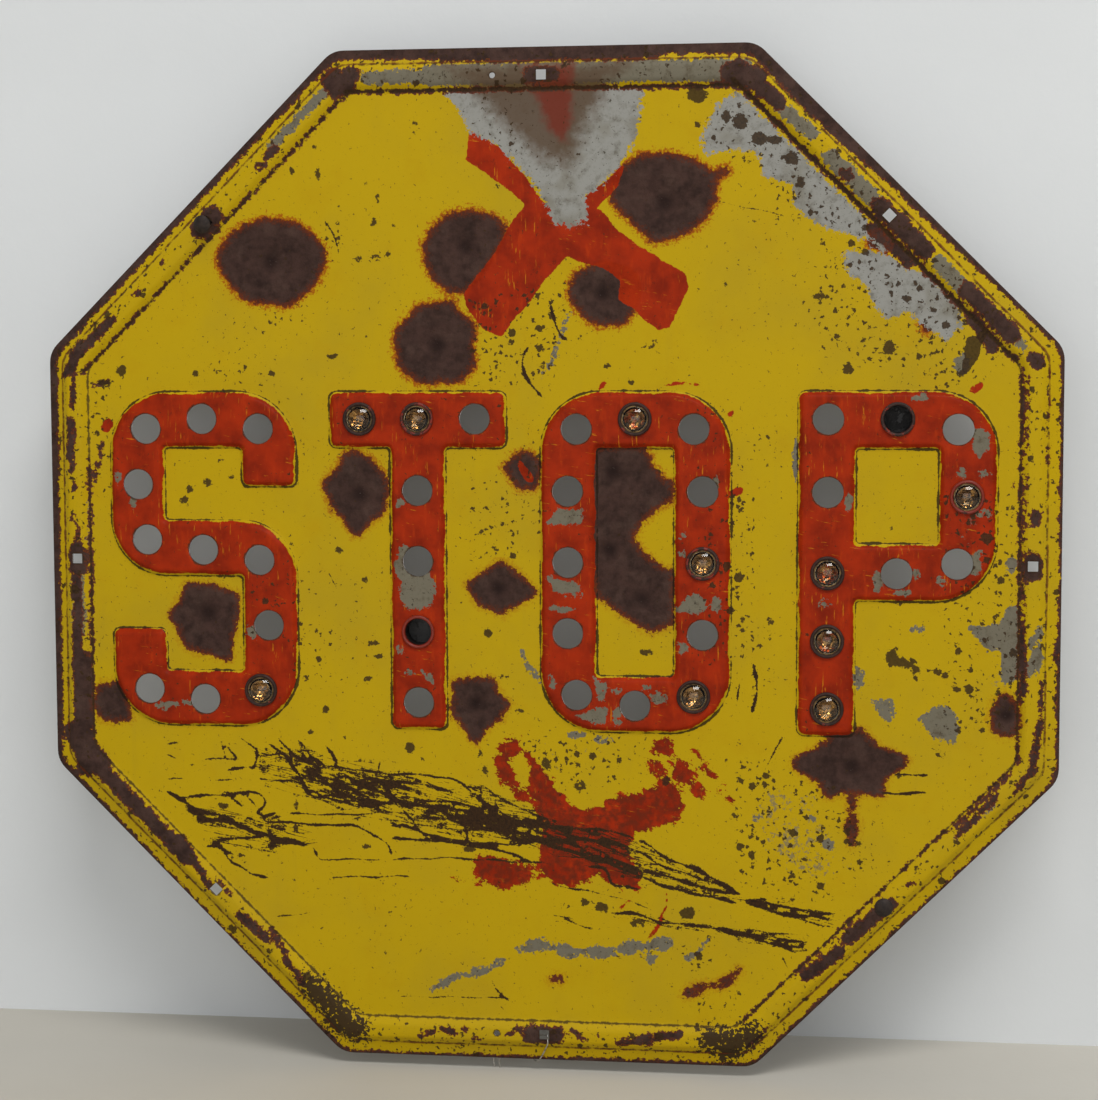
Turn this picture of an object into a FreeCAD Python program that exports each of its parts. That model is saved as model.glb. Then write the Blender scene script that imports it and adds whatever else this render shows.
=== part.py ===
import FreeCAD, Part

import os
import re

import Sketcher
from FreeCAD import Placement, Rotation, Vector

# An octagonal road sign pressed from one sheet of steel, with a raised rib round its border,
# raised letters, round holes for glass reflector buttons in the letters, and square holes for
# the bolts that hold it to a post.
#
# Frame: +X is to the right of someone who reads the sign, +Z is up, and the face looks towards
# -Y. The origin is the centre of the octagon, on the back plane of the flat field.

# Every driving dimension, in millimetres and degrees.
SIZES = (
    # the pressed panel and its border
    ("across_flats", 609.6),
    ("sheet_thickness", 1.6),
    ("outline_corner_radius", 16.0),
    ("lip_width", 8.8),
    ("lip_drop", 2.5),
    ("rib_height", 3.2),
    ("rib_outer_slope", 3.5),
    ("rib_crown_width", 8.0),
    ("rib_inner_slope", 4.5),
    ("form_depth", 6.0),
    # the raised letters
    ("letter_height", 203.2),
    ("letter_raise", 2.8),
    ("letter_slope", 2.3),
    ("stroke_width", 33.0),
    ("bowl_radius", 36.0),
    ("outer_corner_radius", 4.0),
    ("inner_corner_radius", 2.5),
    ("first_centre", -208.5),
    ("second_centre", -75.8),
    ("third_centre", 55.4),
    ("fourth_centre", 209.5),
    ("first_width", 115.0),
    ("second_width", 107.0),
    ("third_width", 113.0),
    ("fourth_width", 115.0),
    ("first_bar_top", 23.5),
    ("upper_hook_end", 45.0),
    ("lower_hook_end", -43.0),
    ("fourth_bowl_bottom", -21.0),
    # the layout of the reflector holes inside a letter
    ("button_hole", 18.2),
    ("button_row", 85.6),
    ("button_drop", 6.0),
    ("button_reach", 35.0),
    ("button_side", 40.3),
    ("button_pitch", 42.6),
    ("first_bar_row", 6.0),
    ("fourth_bar_row", -5.0),
    # holes in the rib
    ("bolt_circle", 576.0),
    ("bolt_hole", 6.0),
    ("nail_hole", 3.5),
    ("nail_offset", -29.0),
    # a reflector's housing, with its rolled rim
    ("housing_bore", 16.1),
    ("housing_wall", 0.6),
    ("housing_depth", 13.0),
    ("rim_width", 2.0),
    ("rim_seat", 0.7),
    # the button inside it: case, glass and mirror
    ("case_clearance", 0.05),
    ("case_wall", 0.35),
    ("case_depth", 9.5),
    ("case_front", 1.2),
    ("case_lip", 0.75),
    ("lens_clearance", 0.05),
    ("lens_dome", 2.6),
    ("lens_band", 2.2),
    ("lens_back", 3.4),
    ("mirror_gap", 0.25),
    ("mirror_wall", 0.3),
    # the push-on ring behind the panel
    ("ring_clearance", 0.05),
    ("ring_width", 2.6),
    ("ring_wall", 0.5),
    ("ring_dish", 0.7),
    # carriage bolts, washers and nuts
    ("bolt_head", 10.9),
    ("bolt_head_edge", 0.5),
    ("bolt_head_height", 2.5),
    ("bolt_neck", 4.9),
    ("bolt_neck_length", 2.3),
    ("bolt_shank", 4.2),
    ("bolt_length", 25.4),
    ("bolt_chamfer", 0.5),
    ("washer_diameter", 12.7),
    ("washer_bore", 5.4),
    ("washer_thickness", 1.2),
    ("washer_depth", -1.1),
    ("nut_across_flats", 9.5),
    ("nut_thickness", 3.2),
    ("thread_clearance", 0.05),
    # how the loose bolt lies in its hole
    ("loose_tilt", 15.0),
    ("loose_shift", 0.55),
    ("loose_head", 4.9),
    ("loose_washer", 8.25),
    # the tag wire
    ("wire_diameter", 0.9),
)

# Depths of the panel's faces: negative is towards the reader.
FIELD_FACE = "-sheet_thickness"
RIB_FACE = "-sheet_thickness - rib_height"
LETTER_FACE = "-sheet_thickness - letter_raise"

# Distances from the centre to the creases of the border.
RIB_FOOT = "across_flats / 2 - lip_width"
RIB_CROWN = RIB_FOOT + " - rib_outer_slope"
RIB_INNER_CROWN = RIB_CROWN + " - rib_crown_width"
RIB_INNER_FOOT = RIB_INNER_CROWN + " - rib_inner_slope"

# Words in an expression that are functions and not names of sizes.
FUNCTIONS = ("cos", "sin", "tan")

HALF_OCTAGON_STEP = 22.5
TINY = 1e-6
STANDING = Rotation(Vector(1, 0, 0), 90)

doc = FreeCAD.newDocument("road_sign")
sizes = doc.addObject("Spreadsheet::Sheet", "sizes")
subparts = []


def fill_sheet():
    """Writes each size to the sheet: its name in column A, and its number in column B under an alias."""
    for row, (name, number) in enumerate(SIZES, start=1):
        sizes.set(f"A{row}", name.replace("_", " "))
        sizes.set(f"B{row}", str(number))
        sizes.setAlias(f"B{row}", name)
    doc.recompute()


# ---------------------------------------------------------------- expressions and placing


def bound(text):
    """An expression on the sheet: every name of a size becomes a reference to its cell."""

    def reference(word):
        return word.group() if word.group() in FUNCTIONS else "sizes." + word.group()

    return re.sub(r"[a-z_]+", reference, text)


def number(text):
    """The present value of an expression."""
    return float(sizes.evalExpression(text))


def place(thing, across="0", depth="0", up="0", turn=0.0):
    """Stands a thing upright that is drawn flat with its front up, so that its front looks to -Y."""
    thing.Placement = Placement(Vector(), STANDING * Rotation(Vector(0, 0, 1), turn))
    move(thing, across, depth, up)


def move(thing, across, depth, up):
    """Binds the place of a thing to expressions and leaves its rotation alone."""
    for axis, text in (("x", across), ("y", depth), ("z", up)):
        thing.setExpression("Placement.Base." + axis, bound(text))


def boolean(kind, name, base, tool):
    """A Part::Cut or Part::Common of two objects."""
    result = doc.addObject("Part::" + kind, name)
    result.Base = base
    result.Tool = tool
    return result


def gather(name, things):
    """Several objects held together as one, each still its own solid."""
    group = doc.addObject("Part::Compound", name)
    group.Links = things
    return group


def copy_at(name, form, across, depth, up):
    """One more of the same piece, at another place."""
    piece = gather(name, [form])
    move(piece, across, depth, up)
    return piece


def subpart(thing):
    """Marks an object as a finished piece; its label names its file."""
    subparts.append(thing)
    return thing


# ---------------------------------------------------------------- outlines with round corners


def turn_at(corners, index):
    """The directions into and out of a corner, and +1 where the outline turns left there."""
    here, before, after = (corners[k % len(corners)] for k in (index, index - 1, index + 1))
    into = Vector(here[0] - before[0], here[1] - before[1], 0).normalize()
    out_of = Vector(after[0] - here[0], after[1] - here[1], 0).normalize()
    return into, out_of, round(into.cross(out_of).z)


def inset_corners(corners, inset):
    """Corner texts of an outline moved into the metal, which lies on the left of each edge."""
    points = [(number(x), number(z)) for x, z, _ in corners]
    moved = []
    for index, (x, z, radius) in enumerate(corners):
        into, out_of, left = turn_at(points, index)
        across = round(-into.y - out_of.y)
        up = round(into.x + out_of.x)
        shifts = ((x, across), (z, up), (radius, -left))
        moved.append(tuple(f"{text} + ({share}) * ({inset})" for text, share in shifts))
    return moved


def outline_sketch(name, corners, across, depth):
    """A closed sketch of square turns with round corners, every size bound to the sheet."""
    sketch = doc.addObject("Sketcher::SketchObject", name)
    points = [(number(x), number(z)) for x, z, _ in corners]
    turns = [turn_at(points, index) for index in range(len(corners))]
    radii = [number(radius) for _, _, radius in corners]
    spots = [Vector(x, z, 0) for x, z in points]
    count = len(corners)
    for index in range(count):
        after = (index + 1) % count
        along = turns[index][1]
        start = spots[index] + along * radii[index]
        end = spots[after] - along * radii[after]
        sketch.addGeometry(Part.LineSegment(start, end), False)
    for index, (into, out_of, left) in enumerate(turns):
        centre = spots[index] + (out_of - into) * radii[index]
        first, last = (-out_of, into) if left > 0 else (into, -out_of)
        angles = [Vector(1, 0, 0).getAngle(side) * (1 if side.y >= 0 else -1) for side in (first, last)]
        circle = Part.Circle(centre, Vector(0, 0, 1), radii[index])
        sketch.addGeometry(Part.ArcOfCircle(circle, *angles), False)
    for index, (x, z, radius) in enumerate(corners):
        line, before, arc = index, (index - 1) % count, count + index
        first, last = (1, 2) if turns[index][2] > 0 else (2, 1)
        sketch.addConstraint(Sketcher.Constraint("Tangent", before, 2, arc, first))
        sketch.addConstraint(Sketcher.Constraint("Tangent", arc, last, line, 1))
        size = sketch.addConstraint(Sketcher.Constraint("Radius", arc, radii[index]))
        sketch.setExpression(f"Constraints[{size}]", bound(radius))
        flat = abs(turns[index][1].x) > 0.5
        sketch.addConstraint(Sketcher.Constraint("Horizontal" if flat else "Vertical", line))
        kind, text = ("DistanceY", z) if flat else ("DistanceX", x)
        size = sketch.addConstraint(Sketcher.Constraint(kind, -1, 1, line, 1, number(text)))
        sketch.setExpression(f"Constraints[{size}]", bound(text))
    place(sketch, across=across, depth=depth)
    return sketch


def raised_block(name, corners, across):
    """A block with sloping sides, from its foot on the field to its face."""
    foot = outline_sketch(name + "_foot", corners, across, FIELD_FACE)
    face = outline_sketch(name + "_face", inset_corners(corners, "letter_slope"), across, LETTER_FACE)
    block = doc.addObject("Part::Loft", name)
    block.Sections = [foot, face]
    block.Solid = True
    block.Ruled = True
    return block


# ---------------------------------------------------------------- the letters

TOP = "letter_height / 2"
BOTTOM = "-letter_height / 2"
UNDER_TOP = TOP + " - stroke_width"
ABOVE_BOTTOM = BOTTOM + " + stroke_width"


def sides(letter):
    """The outer left and right of a letter, and the inner sides of its two uprights."""
    right = f"{letter}_width / 2"
    return "-" + right, right, f"-{right} + stroke_width", right + " - stroke_width"


def first_letter():
    left, right, inner_left, inner_right = sides("first")
    bar_bottom = "first_bar_top - stroke_width"
    corners = [
        (left, TOP, "bowl_radius"),
        (left, bar_bottom, "bowl_radius - 2"),
        (inner_right, bar_bottom, "inner_corner_radius"),
        (inner_right, ABOVE_BOTTOM, "inner_corner_radius"),
        (inner_left, ABOVE_BOTTOM, "inner_corner_radius"),
        (inner_left, "lower_hook_end", "outer_corner_radius"),
        (left, "lower_hook_end", "outer_corner_radius"),
        (left, BOTTOM, "bowl_radius"),
        (right, BOTTOM, "bowl_radius"),
        (right, "first_bar_top", "bowl_radius - 2"),
        (inner_left, "first_bar_top", "inner_corner_radius"),
        (inner_left, UNDER_TOP, "inner_corner_radius"),
        (inner_right, UNDER_TOP, "inner_corner_radius"),
        (inner_right, "upper_hook_end", "outer_corner_radius"),
        (right, "upper_hook_end", "outer_corner_radius"),
        (right, TOP, "bowl_radius"),
    ]
    return raised_block("first_letter", corners, "first_centre")


def second_letter():
    left, right, _, _ = sides("second")
    stem_left, stem_right = "-stroke_width / 2", "stroke_width / 2"
    corners = [
        (left, TOP, "outer_corner_radius"),
        (left, UNDER_TOP, "outer_corner_radius"),
        (stem_left, UNDER_TOP, "inner_corner_radius"),
        (stem_left, BOTTOM, "outer_corner_radius"),
        (stem_right, BOTTOM, "outer_corner_radius"),
        (stem_right, UNDER_TOP, "inner_corner_radius"),
        (right, UNDER_TOP, "outer_corner_radius"),
        (right, TOP, "outer_corner_radius"),
    ]
    return raised_block("second_letter", corners, "second_centre")


def letter_with_counter(name, outside, low, high, across):
    """A letter that goes round a flat counter, whose outline runs the other way."""
    _, _, left, right = sides(name.split("_")[0])
    counter = [(x, z, "inner_corner_radius") for x, z in ((left, low), (left, high), (right, high), (right, low))]
    block = raised_block(name + "_outside", outside, across)
    opening = raised_block(name + "_counter", counter, across)
    return boolean("Cut", name, block, opening)


def third_letter():
    left, right, _, _ = sides("third")
    outside = [(x, z, "bowl_radius") for x, z in ((left, TOP), (left, BOTTOM), (right, BOTTOM), (right, TOP))]
    return letter_with_counter("third_letter", outside, ABOVE_BOTTOM, UNDER_TOP, "third_centre")


def fourth_letter():
    left, right, inner_left, _ = sides("fourth")
    outside = [
        (left, TOP, "outer_corner_radius"),
        (left, BOTTOM, "outer_corner_radius"),
        (inner_left, BOTTOM, "outer_corner_radius"),
        (inner_left, "fourth_bowl_bottom", "inner_corner_radius"),
        (right, "fourth_bowl_bottom", "bowl_radius"),
        (right, TOP, "bowl_radius"),
    ]
    low = "fourth_bowl_bottom + stroke_width"
    return letter_with_counter("fourth_letter", outside, low, UNDER_TOP, "fourth_centre")


# ---------------------------------------------------------------- places of the holes


def button_places():
    """Every reflector hole: a name, and its place across and up as expressions."""
    row, corner_row = "button_row", "button_row - button_drop"
    reach, side = "button_reach", "button_side"
    bar_high, bar_low = "first_bar_row + button_drop", "first_bar_row - button_drop"
    bowl_corner_row = "fourth_bar_row + button_drop"
    layout = {
        "first": {
            "s_top_left": (f"-{reach}", corner_row),
            "s_top": ("0", row),
            "s_top_right": (reach, corner_row),
            "s_upper_left": (f"-{side}", f"({corner_row} + {bar_high}) / 2"),
            "s_middle_left": (f"-{reach}", bar_high),
            "s_middle": ("0", "first_bar_row"),
            "s_middle_right": (reach, bar_low),
            "s_lower_right": (side, f"({bar_low} - {row} + button_drop) / 2"),
            "s_bottom_left": (f"-{reach}", f"-{row} + button_drop"),
            "s_bottom": ("0", f"-{row}"),
            "s_bottom_right": (reach, f"-{row} + button_drop"),
        },
        "second": {
            "t_bar_left": ("-button_reach", row),
            "t_bar_middle": ("0", row),
            "t_bar_right": ("button_reach", row),
            "t_stem_upper": ("0", "button_pitch"),
            "t_stem_middle": ("0", "0"),
            "t_stem_lower": ("0", "-button_pitch"),
            "t_stem_foot": ("0", f"-{row}"),
        },
        "third": {
            "o_top_left": (f"-{reach}", corner_row),
            "o_top": ("0", row),
            "o_top_right": (reach, corner_row),
            "o_left_upper": (f"-{side}", "button_pitch"),
            "o_left_middle": (f"-{side}", "0"),
            "o_left_lower": (f"-{side}", "-button_pitch"),
            "o_right_upper": (side, "button_pitch"),
            "o_right_middle": (side, "0"),
            "o_right_lower": (side, "-button_pitch"),
            "o_bottom_left": (f"-{reach}", f"-{row} + button_drop"),
            "o_bottom": ("0", f"-{row}"),
            "o_bottom_right": (reach, f"-{row} + button_drop"),
        },
        "fourth": {
            "p_top_left": (f"-{side}", row),
            "p_top": ("0", row),
            "p_top_right": (reach, corner_row),
            "p_left_upper": (f"-{side}", "button_pitch"),
            "p_right": (side, f"({corner_row} + {bowl_corner_row}) / 2"),
            "p_left_middle": (f"-{side}", "fourth_bar_row"),
            "p_bowl_bottom": ("0", "fourth_bar_row"),
            "p_bowl_corner": (reach, bowl_corner_row),
            "p_left_lower": (f"-{side}", f"(fourth_bar_row - {row}) / 2"),
            "p_foot": (f"-{side}", f"-{row}"),
        },
    }
    places = {}
    for letter, holes in layout.items():
        for name, (across, up) in holes.items():
            places[name] = (f"{letter}_centre + {across}", up)
    return places


# Where a housing is still fitted. The first group holds its glass, and the second is empty.
GLAZED = (
    "s_bottom_right", "t_bar_left", "t_bar_middle", "o_top", "o_right_middle",
    "o_bottom_right", "p_right", "p_left_middle", "p_left_lower", "p_foot",
)
EMPTY = ("t_stem_lower", "p_top")


def on_bolt_circle(step):
    """The place of a bolt hole, counted in eighths of a turn from +X towards +Z."""
    return f"bolt_circle / 2 * cos({45 * step})", f"bolt_circle / 2 * sin({45 * step})"


UPPER_LEFT, LOWER_RIGHT = 3, 7


# ---------------------------------------------------------------- the panel


def octagon_solid(name, sections):
    """A solid through octagons, each given by its distance to a flat and its depth."""
    rings = []
    for index, (apothem, depth) in enumerate(sections):
        ring = doc.addObject("Part::RegularPolygon", f"{name}_ring_{index}")
        ring.Polygon = 8
        ring.setExpression("Circumradius", bound(f"({apothem}) / cos({HALF_OCTAGON_STEP})"))
        place(ring, depth=depth, turn=HALF_OCTAGON_STEP)
        rings.append(ring)
    solid = doc.addObject("Part::Loft", name)
    solid.Sections = rings
    solid.Solid = True
    solid.Ruled = True
    return solid


def prism(name, faces, apothem, length, across="0", depth="0", up="0", turn=0.0):
    """A straight bar of regular section whose flats are the given distance from its axis."""
    bar = doc.addObject("Part::Prism", name)
    bar.Polygon = faces
    bar.setExpression("Circumradius", bound(f"({apothem}) / cos({180 / faces})"))
    bar.setExpression("Height", bound(length))
    place(bar, across, depth, up, turn)
    return bar


def cylinder(name, diameter, length, across="0", depth="0", up="0"):
    rod = doc.addObject("Part::Cylinder", name)
    rod.setExpression("Radius", bound(f"({diameter}) / 2"))
    rod.setExpression("Height", bound(length))
    place(rod, across, depth, up)
    return rod


def pressed_face():
    """A thick block whose front is the front of the panel: field, sloping lip, rib and letters."""
    # The lip's slope runs on past the edge of the sheet, so that trimming leaves a clean edge.
    past_edge = RIB_FOOT + " + lip_width * 1.5"
    field = octagon_solid("field_block", (
        (RIB_FOOT, FIELD_FACE),
        (past_edge, FIELD_FACE + " + lip_drop * 1.5"),
        (past_edge, "form_depth"),
    ))
    rib_block = octagon_solid("rib_block", (
        (RIB_FOOT, FIELD_FACE + " + sheet_thickness / 2"),
        (RIB_FOOT, FIELD_FACE),
        (RIB_CROWN, RIB_FACE),
    ))
    rib_hollow = octagon_solid("rib_hollow", (
        (RIB_INNER_CROWN, RIB_FACE + " - rib_height"),
        (RIB_INNER_CROWN, RIB_FACE),
        (RIB_INNER_FOOT, FIELD_FACE),
    ))
    rib = boolean("Cut", "rib", rib_block, rib_hollow)
    face = doc.addObject("Part::MultiFuse", "pressed_face")
    face.Shapes = [field, rib, first_letter(), second_letter(), third_letter(), fourth_letter()]
    face.Refine = True
    return face


def blank_sheet():
    """The octagon's outline with its corners rounded, as thick as the whole pressing."""
    block = prism(
        "blank_block", 8, "across_flats / 2", "2 * form_depth + rib_height",
        depth="form_depth", turn=HALF_OCTAGON_STEP,
    )
    doc.recompute()
    sheet = doc.addObject("Part::Fillet", "blank_sheet")
    sheet.Base = block
    radius = number("outline_corner_radius")
    along = [
        index for index, edge in enumerate(block.Shape.Edges, start=1)
        if abs(edge.tangentAt(edge.FirstParameter).y) > 0.9
    ]
    sheet.Edges = [(index, radius, radius) for index in along]
    return sheet


def hole_tools():
    """Everything that is punched out of the panel."""
    depth, length = "form_depth", "2 * form_depth + rib_height"
    tools = []
    for name, (across, up) in button_places().items():
        tools.append(cylinder("hole_" + name, "button_hole", length, across, depth, up))
    for step in range(8):
        across, up = on_bolt_circle(step)
        # The sides of each square hole lie along and across the side of the octagon.
        turn = 45.0 if step % 2 == 0 else 0.0
        tools.append(prism(f"bolt_hole_{step}", 4, "bolt_hole / 2", length, across, depth, up, turn))
    for name, up in (("top", "bolt_circle / 2"), ("bottom", "-bolt_circle / 2")):
        tools.append(cylinder("nail_hole_" + name, "nail_hole", length, "nail_offset", depth, up))
    return gather("hole_tools", tools)


def sign_panel():
    """The pressed sheet: the same form behind as in front, one sheet thickness apart."""
    face = pressed_face()
    behind = gather("pressed_back", [face])
    move(behind, "0", "sheet_thickness", "0")
    sheet = boolean("Cut", "pressed_sheet", face, behind)
    trimmed = boolean("Common", "trimmed_sheet", sheet, blank_sheet())
    return boolean("Cut", "sign_panel", trimmed, hole_tools())


# ---------------------------------------------------------------- turned pieces


def arc_centre(start, end, on_axis, level):
    """The centre of an arc between two points: on the turning axis, or at a given height."""
    if on_axis:
        height = (start.dot(start) - end.dot(end)) / (2 * (start.y - end.y))
        return Vector(0, height, 0)
    lowered = [Vector(point.x, point.y - level, 0) for point in (start, end)]
    out = (lowered[0].dot(lowered[0]) - lowered[1].dot(lowered[1])) / (2 * (start.x - end.x))
    return Vector(out, level, 0)


def turned_body(name, profile):
    """A body turned about its own axis, with its front up, then stood upright.

    The profile is a closed run of (radius, height, edge) anticlockwise, with the axis on its left.
    The edge that leaves a point is "line", "dome" (an arc centred on the axis), or the height
    that an arc is centred on.
    """
    body = doc.addObject("PartDesign::Body", name)
    plane = [feature for feature in body.Origin.OriginFeatures if feature.Role == "XZ_Plane"][0]
    sketch = body.newObject("Sketcher::SketchObject", name + "_profile")
    sketch.AttachmentSupport = [(plane, "")]
    sketch.MapMode = "FlatFace"
    spots = [Vector(number(radius), number(height), 0) for radius, height, _ in profile]
    count = len(profile)
    ends = []
    for index, (_, _, edge) in enumerate(profile):
        start, end = spots[index], spots[(index + 1) % count]
        ends.append((1, 2))
        if edge == "line":
            sketch.addGeometry(Part.LineSegment(start, end), False)
            continue
        on_axis = edge == "dome"
        centre = arc_centre(start, end, on_axis, None if on_axis else number(edge))
        if (start - centre).cross(end - centre).z < -TINY:
            # A hollow dome is run along clockwise, and the sketch keeps every arc anticlockwise.
            start, end = end, start
            ends[index] = (2, 1)
        circle = Part.Circle(centre, Vector(0, 0, 1), (start - centre).Length)
        limits = [circle.parameter(point) for point in (start, end)]
        sketch.addGeometry(Part.ArcOfCircle(circle, *limits), False)
        if on_axis:
            sketch.addConstraint(Sketcher.Constraint("PointOnObject", index, 3, -2))
        else:
            bind_distance(sketch, "DistanceY", index, 3, edge)
    for index, (radius, height, _) in enumerate(profile):
        after = (index + 1) % count
        sketch.addConstraint(Sketcher.Constraint("Coincident", index, ends[index][1], after, ends[after][0]))
        bind_distance(sketch, "DistanceX", index, ends[index][0], radius)
        bind_distance(sketch, "DistanceY", index, ends[index][0], height)
    turning = body.newObject("PartDesign::Revolution", name + "_turning")
    turning.Profile = sketch
    turning.ReferenceAxis = (sketch, ["V_Axis"])
    turning.Angle = 360
    body.Tip = turning
    place(body)
    return body


def bind_distance(sketch, kind, geometry, point, text):
    """Ties a point's distance from the sketch's origin to the sheet; zero puts it on the axis."""
    if text == "0":
        axis = -2 if kind == "DistanceX" else -1
        sketch.addConstraint(Sketcher.Constraint("PointOnObject", geometry, point, axis))
        return
    size = sketch.addConstraint(Sketcher.Constraint(kind, -1, 1, geometry, point, number(text)))
    sketch.setExpression(f"Constraints[{size}]", bound(text))


# ---------------------------------------------------------------- reflector buttons
# Heights here are counted from the face of the letters, towards the reader.

CUP_RADIUS = "housing_bore / 2 + housing_wall"
RIM_RADIUS = "housing_bore / 2 + rim_width"
CASE_RADIUS = "housing_bore / 2 - case_clearance"
LENS_RADIUS = CASE_RADIUS + " - case_wall - lens_clearance"
LENS_SHOULDER = "case_front - case_wall"
LENS_HEEL = LENS_SHOULDER + " - lens_band"


def housing_form():
    """A closed cup that drops into a hole of the panel and rests on its rolled rim."""
    return turned_body("housing_form", [
        ("0", "-housing_depth", "line"),
        (CUP_RADIUS, "-housing_depth", "line"),
        (CUP_RADIUS, "0", "line"),
        (RIM_RADIUS, "0", "line"),
        (RIM_RADIUS, "rim_seat", "rim_seat"),
        ("housing_bore / 2", "rim_seat", "line"),
        ("housing_bore / 2", "-housing_depth + housing_wall", "line"),
        ("0", "-housing_depth + housing_wall", "line"),
    ])


def case_form():
    """The brass case of a button: a thin cup whose front is spun in over the edge of the glass."""
    lip_radius = CASE_RADIUS + " - case_lip"
    back = "case_front - case_depth"
    return turned_body("case_form", [
        ("0", back, "line"),
        (CASE_RADIUS, back, "line"),
        (CASE_RADIUS, "case_front", "line"),
        (lip_radius, "case_front", "line"),
        (lip_radius, LENS_SHOULDER, "line"),
        (CASE_RADIUS + " - case_wall", LENS_SHOULDER, "line"),
        (CASE_RADIUS + " - case_wall", back + " + case_wall", "line"),
        ("0", back + " + case_wall", "line"),
    ])


def lens_form():
    """The glass: a shallow dome in front, a band held by the case, and a deeper dome behind."""
    shoulder = LENS_SHOULDER + " - lens_clearance"
    dome_radius = CASE_RADIUS + " - case_lip - lens_clearance"
    return turned_body("lens_form", [
        ("0", LENS_HEEL + " - lens_back", "dome"),
        (LENS_RADIUS, LENS_HEEL, "line"),
        (LENS_RADIUS, shoulder, "line"),
        (dome_radius, shoulder, "line"),
        (dome_radius, "case_front", "dome"),
        ("0", "case_front + lens_dome", "line"),
    ])


def mirror_form():
    """The bright metal bowl close behind the glass that sends the light back."""
    inside = LENS_HEEL + " - lens_back - mirror_gap"
    edge = LENS_HEEL + " - mirror_gap"
    return turned_body("mirror_form", [
        ("0", inside + " - mirror_wall", "dome"),
        (LENS_RADIUS, edge + " - mirror_wall", "line"),
        (LENS_RADIUS, edge, "dome"),
        ("0", inside, "line"),
    ])


def ring_form():
    """A dished spring ring, pushed on to the cup from behind until it grips the sheet."""
    bore = CUP_RADIUS + " + ring_clearance"
    outside = bore + " + ring_width"
    seat = "-sheet_thickness"
    return turned_body("ring_form", [
        (bore, seat + " - ring_dish - ring_wall", "line"),
        (outside, seat + " - ring_wall", "line"),
        (outside, seat, "line"),
        (bore, seat + " - ring_dish", "line"),
    ])


def reflector_buttons():
    """A housing and its spring ring in each fitted hole; case, glass and mirror where kept."""
    places = button_places()
    housing, ring = housing_form(), ring_form()
    contents = {"case": case_form(), "lens": lens_form(), "mirror": mirror_form()}
    rings = []
    for name in GLAZED + EMPTY:
        across, up = places[name]
        subpart(copy_at("housing_" + name, housing, across, LETTER_FACE, up))
        rings.append(copy_at("ring_" + name, ring, across, LETTER_FACE, up))
    for name in GLAZED:
        across, up = places[name]
        for piece, form in contents.items():
            subpart(copy_at(f"{piece}_{name}", form, across, LETTER_FACE, up))
    subpart(gather("retaining_rings", rings))


# ---------------------------------------------------------------- bolts, washers and nuts
# Each is drawn on the bolt's axis, with heights counted from the underside of its head.


def bolt_form():
    """A small carriage bolt: domed head, square neck, round shank."""
    turning = turned_body("bolt_turning", [
        ("0", "-bolt_length", "line"),
        ("bolt_shank / 2 - bolt_chamfer", "-bolt_length", "line"),
        ("bolt_shank / 2", "-bolt_length + bolt_chamfer", "line"),
        ("bolt_shank / 2", "0", "line"),
        ("bolt_head / 2", "0", "line"),
        ("bolt_head / 2", "bolt_head_edge", "dome"),
        ("0", "bolt_head_height", "line"),
    ])
    neck = prism("bolt_neck", 4, "bolt_neck / 2", "bolt_neck_length", depth="bolt_neck_length")
    bolt = doc.addObject("Part::MultiFuse", "bolt_form")
    bolt.Shapes = [turning, neck]
    return bolt


def washer_form():
    """A flat washer that rests on the slopes of the rib's hollow back; its front face is at zero."""
    disc = cylinder("washer_disc", "washer_diameter", "washer_thickness", depth="washer_thickness")
    bore = cylinder("washer_bore", "washer_bore", "3 * washer_thickness", depth="2 * washer_thickness")
    return boolean("Cut", "washer_form", disc, bore)


def nut_form():
    """A hexagon nut; its front face is at zero."""
    block = prism("nut_block", 6, "nut_across_flats / 2", "nut_thickness", depth="nut_thickness")
    bore = cylinder(
        "nut_bore", "bolt_shank + 2 * thread_clearance", "3 * nut_thickness", depth="2 * nut_thickness",
    )
    return boolean("Cut", "nut_form", block, bore)


def loose_place(distance):
    """A place on the axis of the loose bolt, a distance forward of the middle of the sheet.

    The bolt lies against the lower left of its hole, and its head leans the same way.
    """
    across, up = on_bolt_circle(UPPER_LEFT)
    drift = f"(loose_shift + sin(loose_tilt) * ({distance})) * cos(45)"
    depth = f"-rib_height - sheet_thickness / 2 - cos(loose_tilt) * ({distance})"
    return f"{across} - {drift}", depth, f"{up} - {drift}"


def lean(piece):
    """Turns a piece of the loose bolt so that its head leans down and to the left."""
    piece.Placement = Placement(Vector(), Rotation(Vector(1, 0, -1), number("loose_tilt")))
    piece.setExpression("Placement.Rotation.Angle", bound("loose_tilt"))


def post_bolts():
    """The two bolts left in the sign: one tight at the lower right, one loose at the upper left."""
    forms = {"carriage_bolt": bolt_form(), "washer": washer_form(), "nut": nut_form()}
    tight = {
        "carriage_bolt": RIB_FACE,
        "washer": "washer_depth",
        "nut": "washer_depth + washer_thickness",
    }
    loose = {
        "carriage_bolt": "loose_head",
        "washer": "-loose_washer",
        "nut": "-loose_washer - washer_thickness",
    }
    across, up = on_bolt_circle(LOWER_RIGHT)
    for name, form in forms.items():
        subpart(copy_at(name + "_lower_right", form, across, tight[name], up))
        piece = gather(name + "_upper_left", [form])
        lean(piece)
        move(piece, *loose_place(loose[name]))
        subpart(piece)


# ---------------------------------------------------------------- the tag wire


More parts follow.
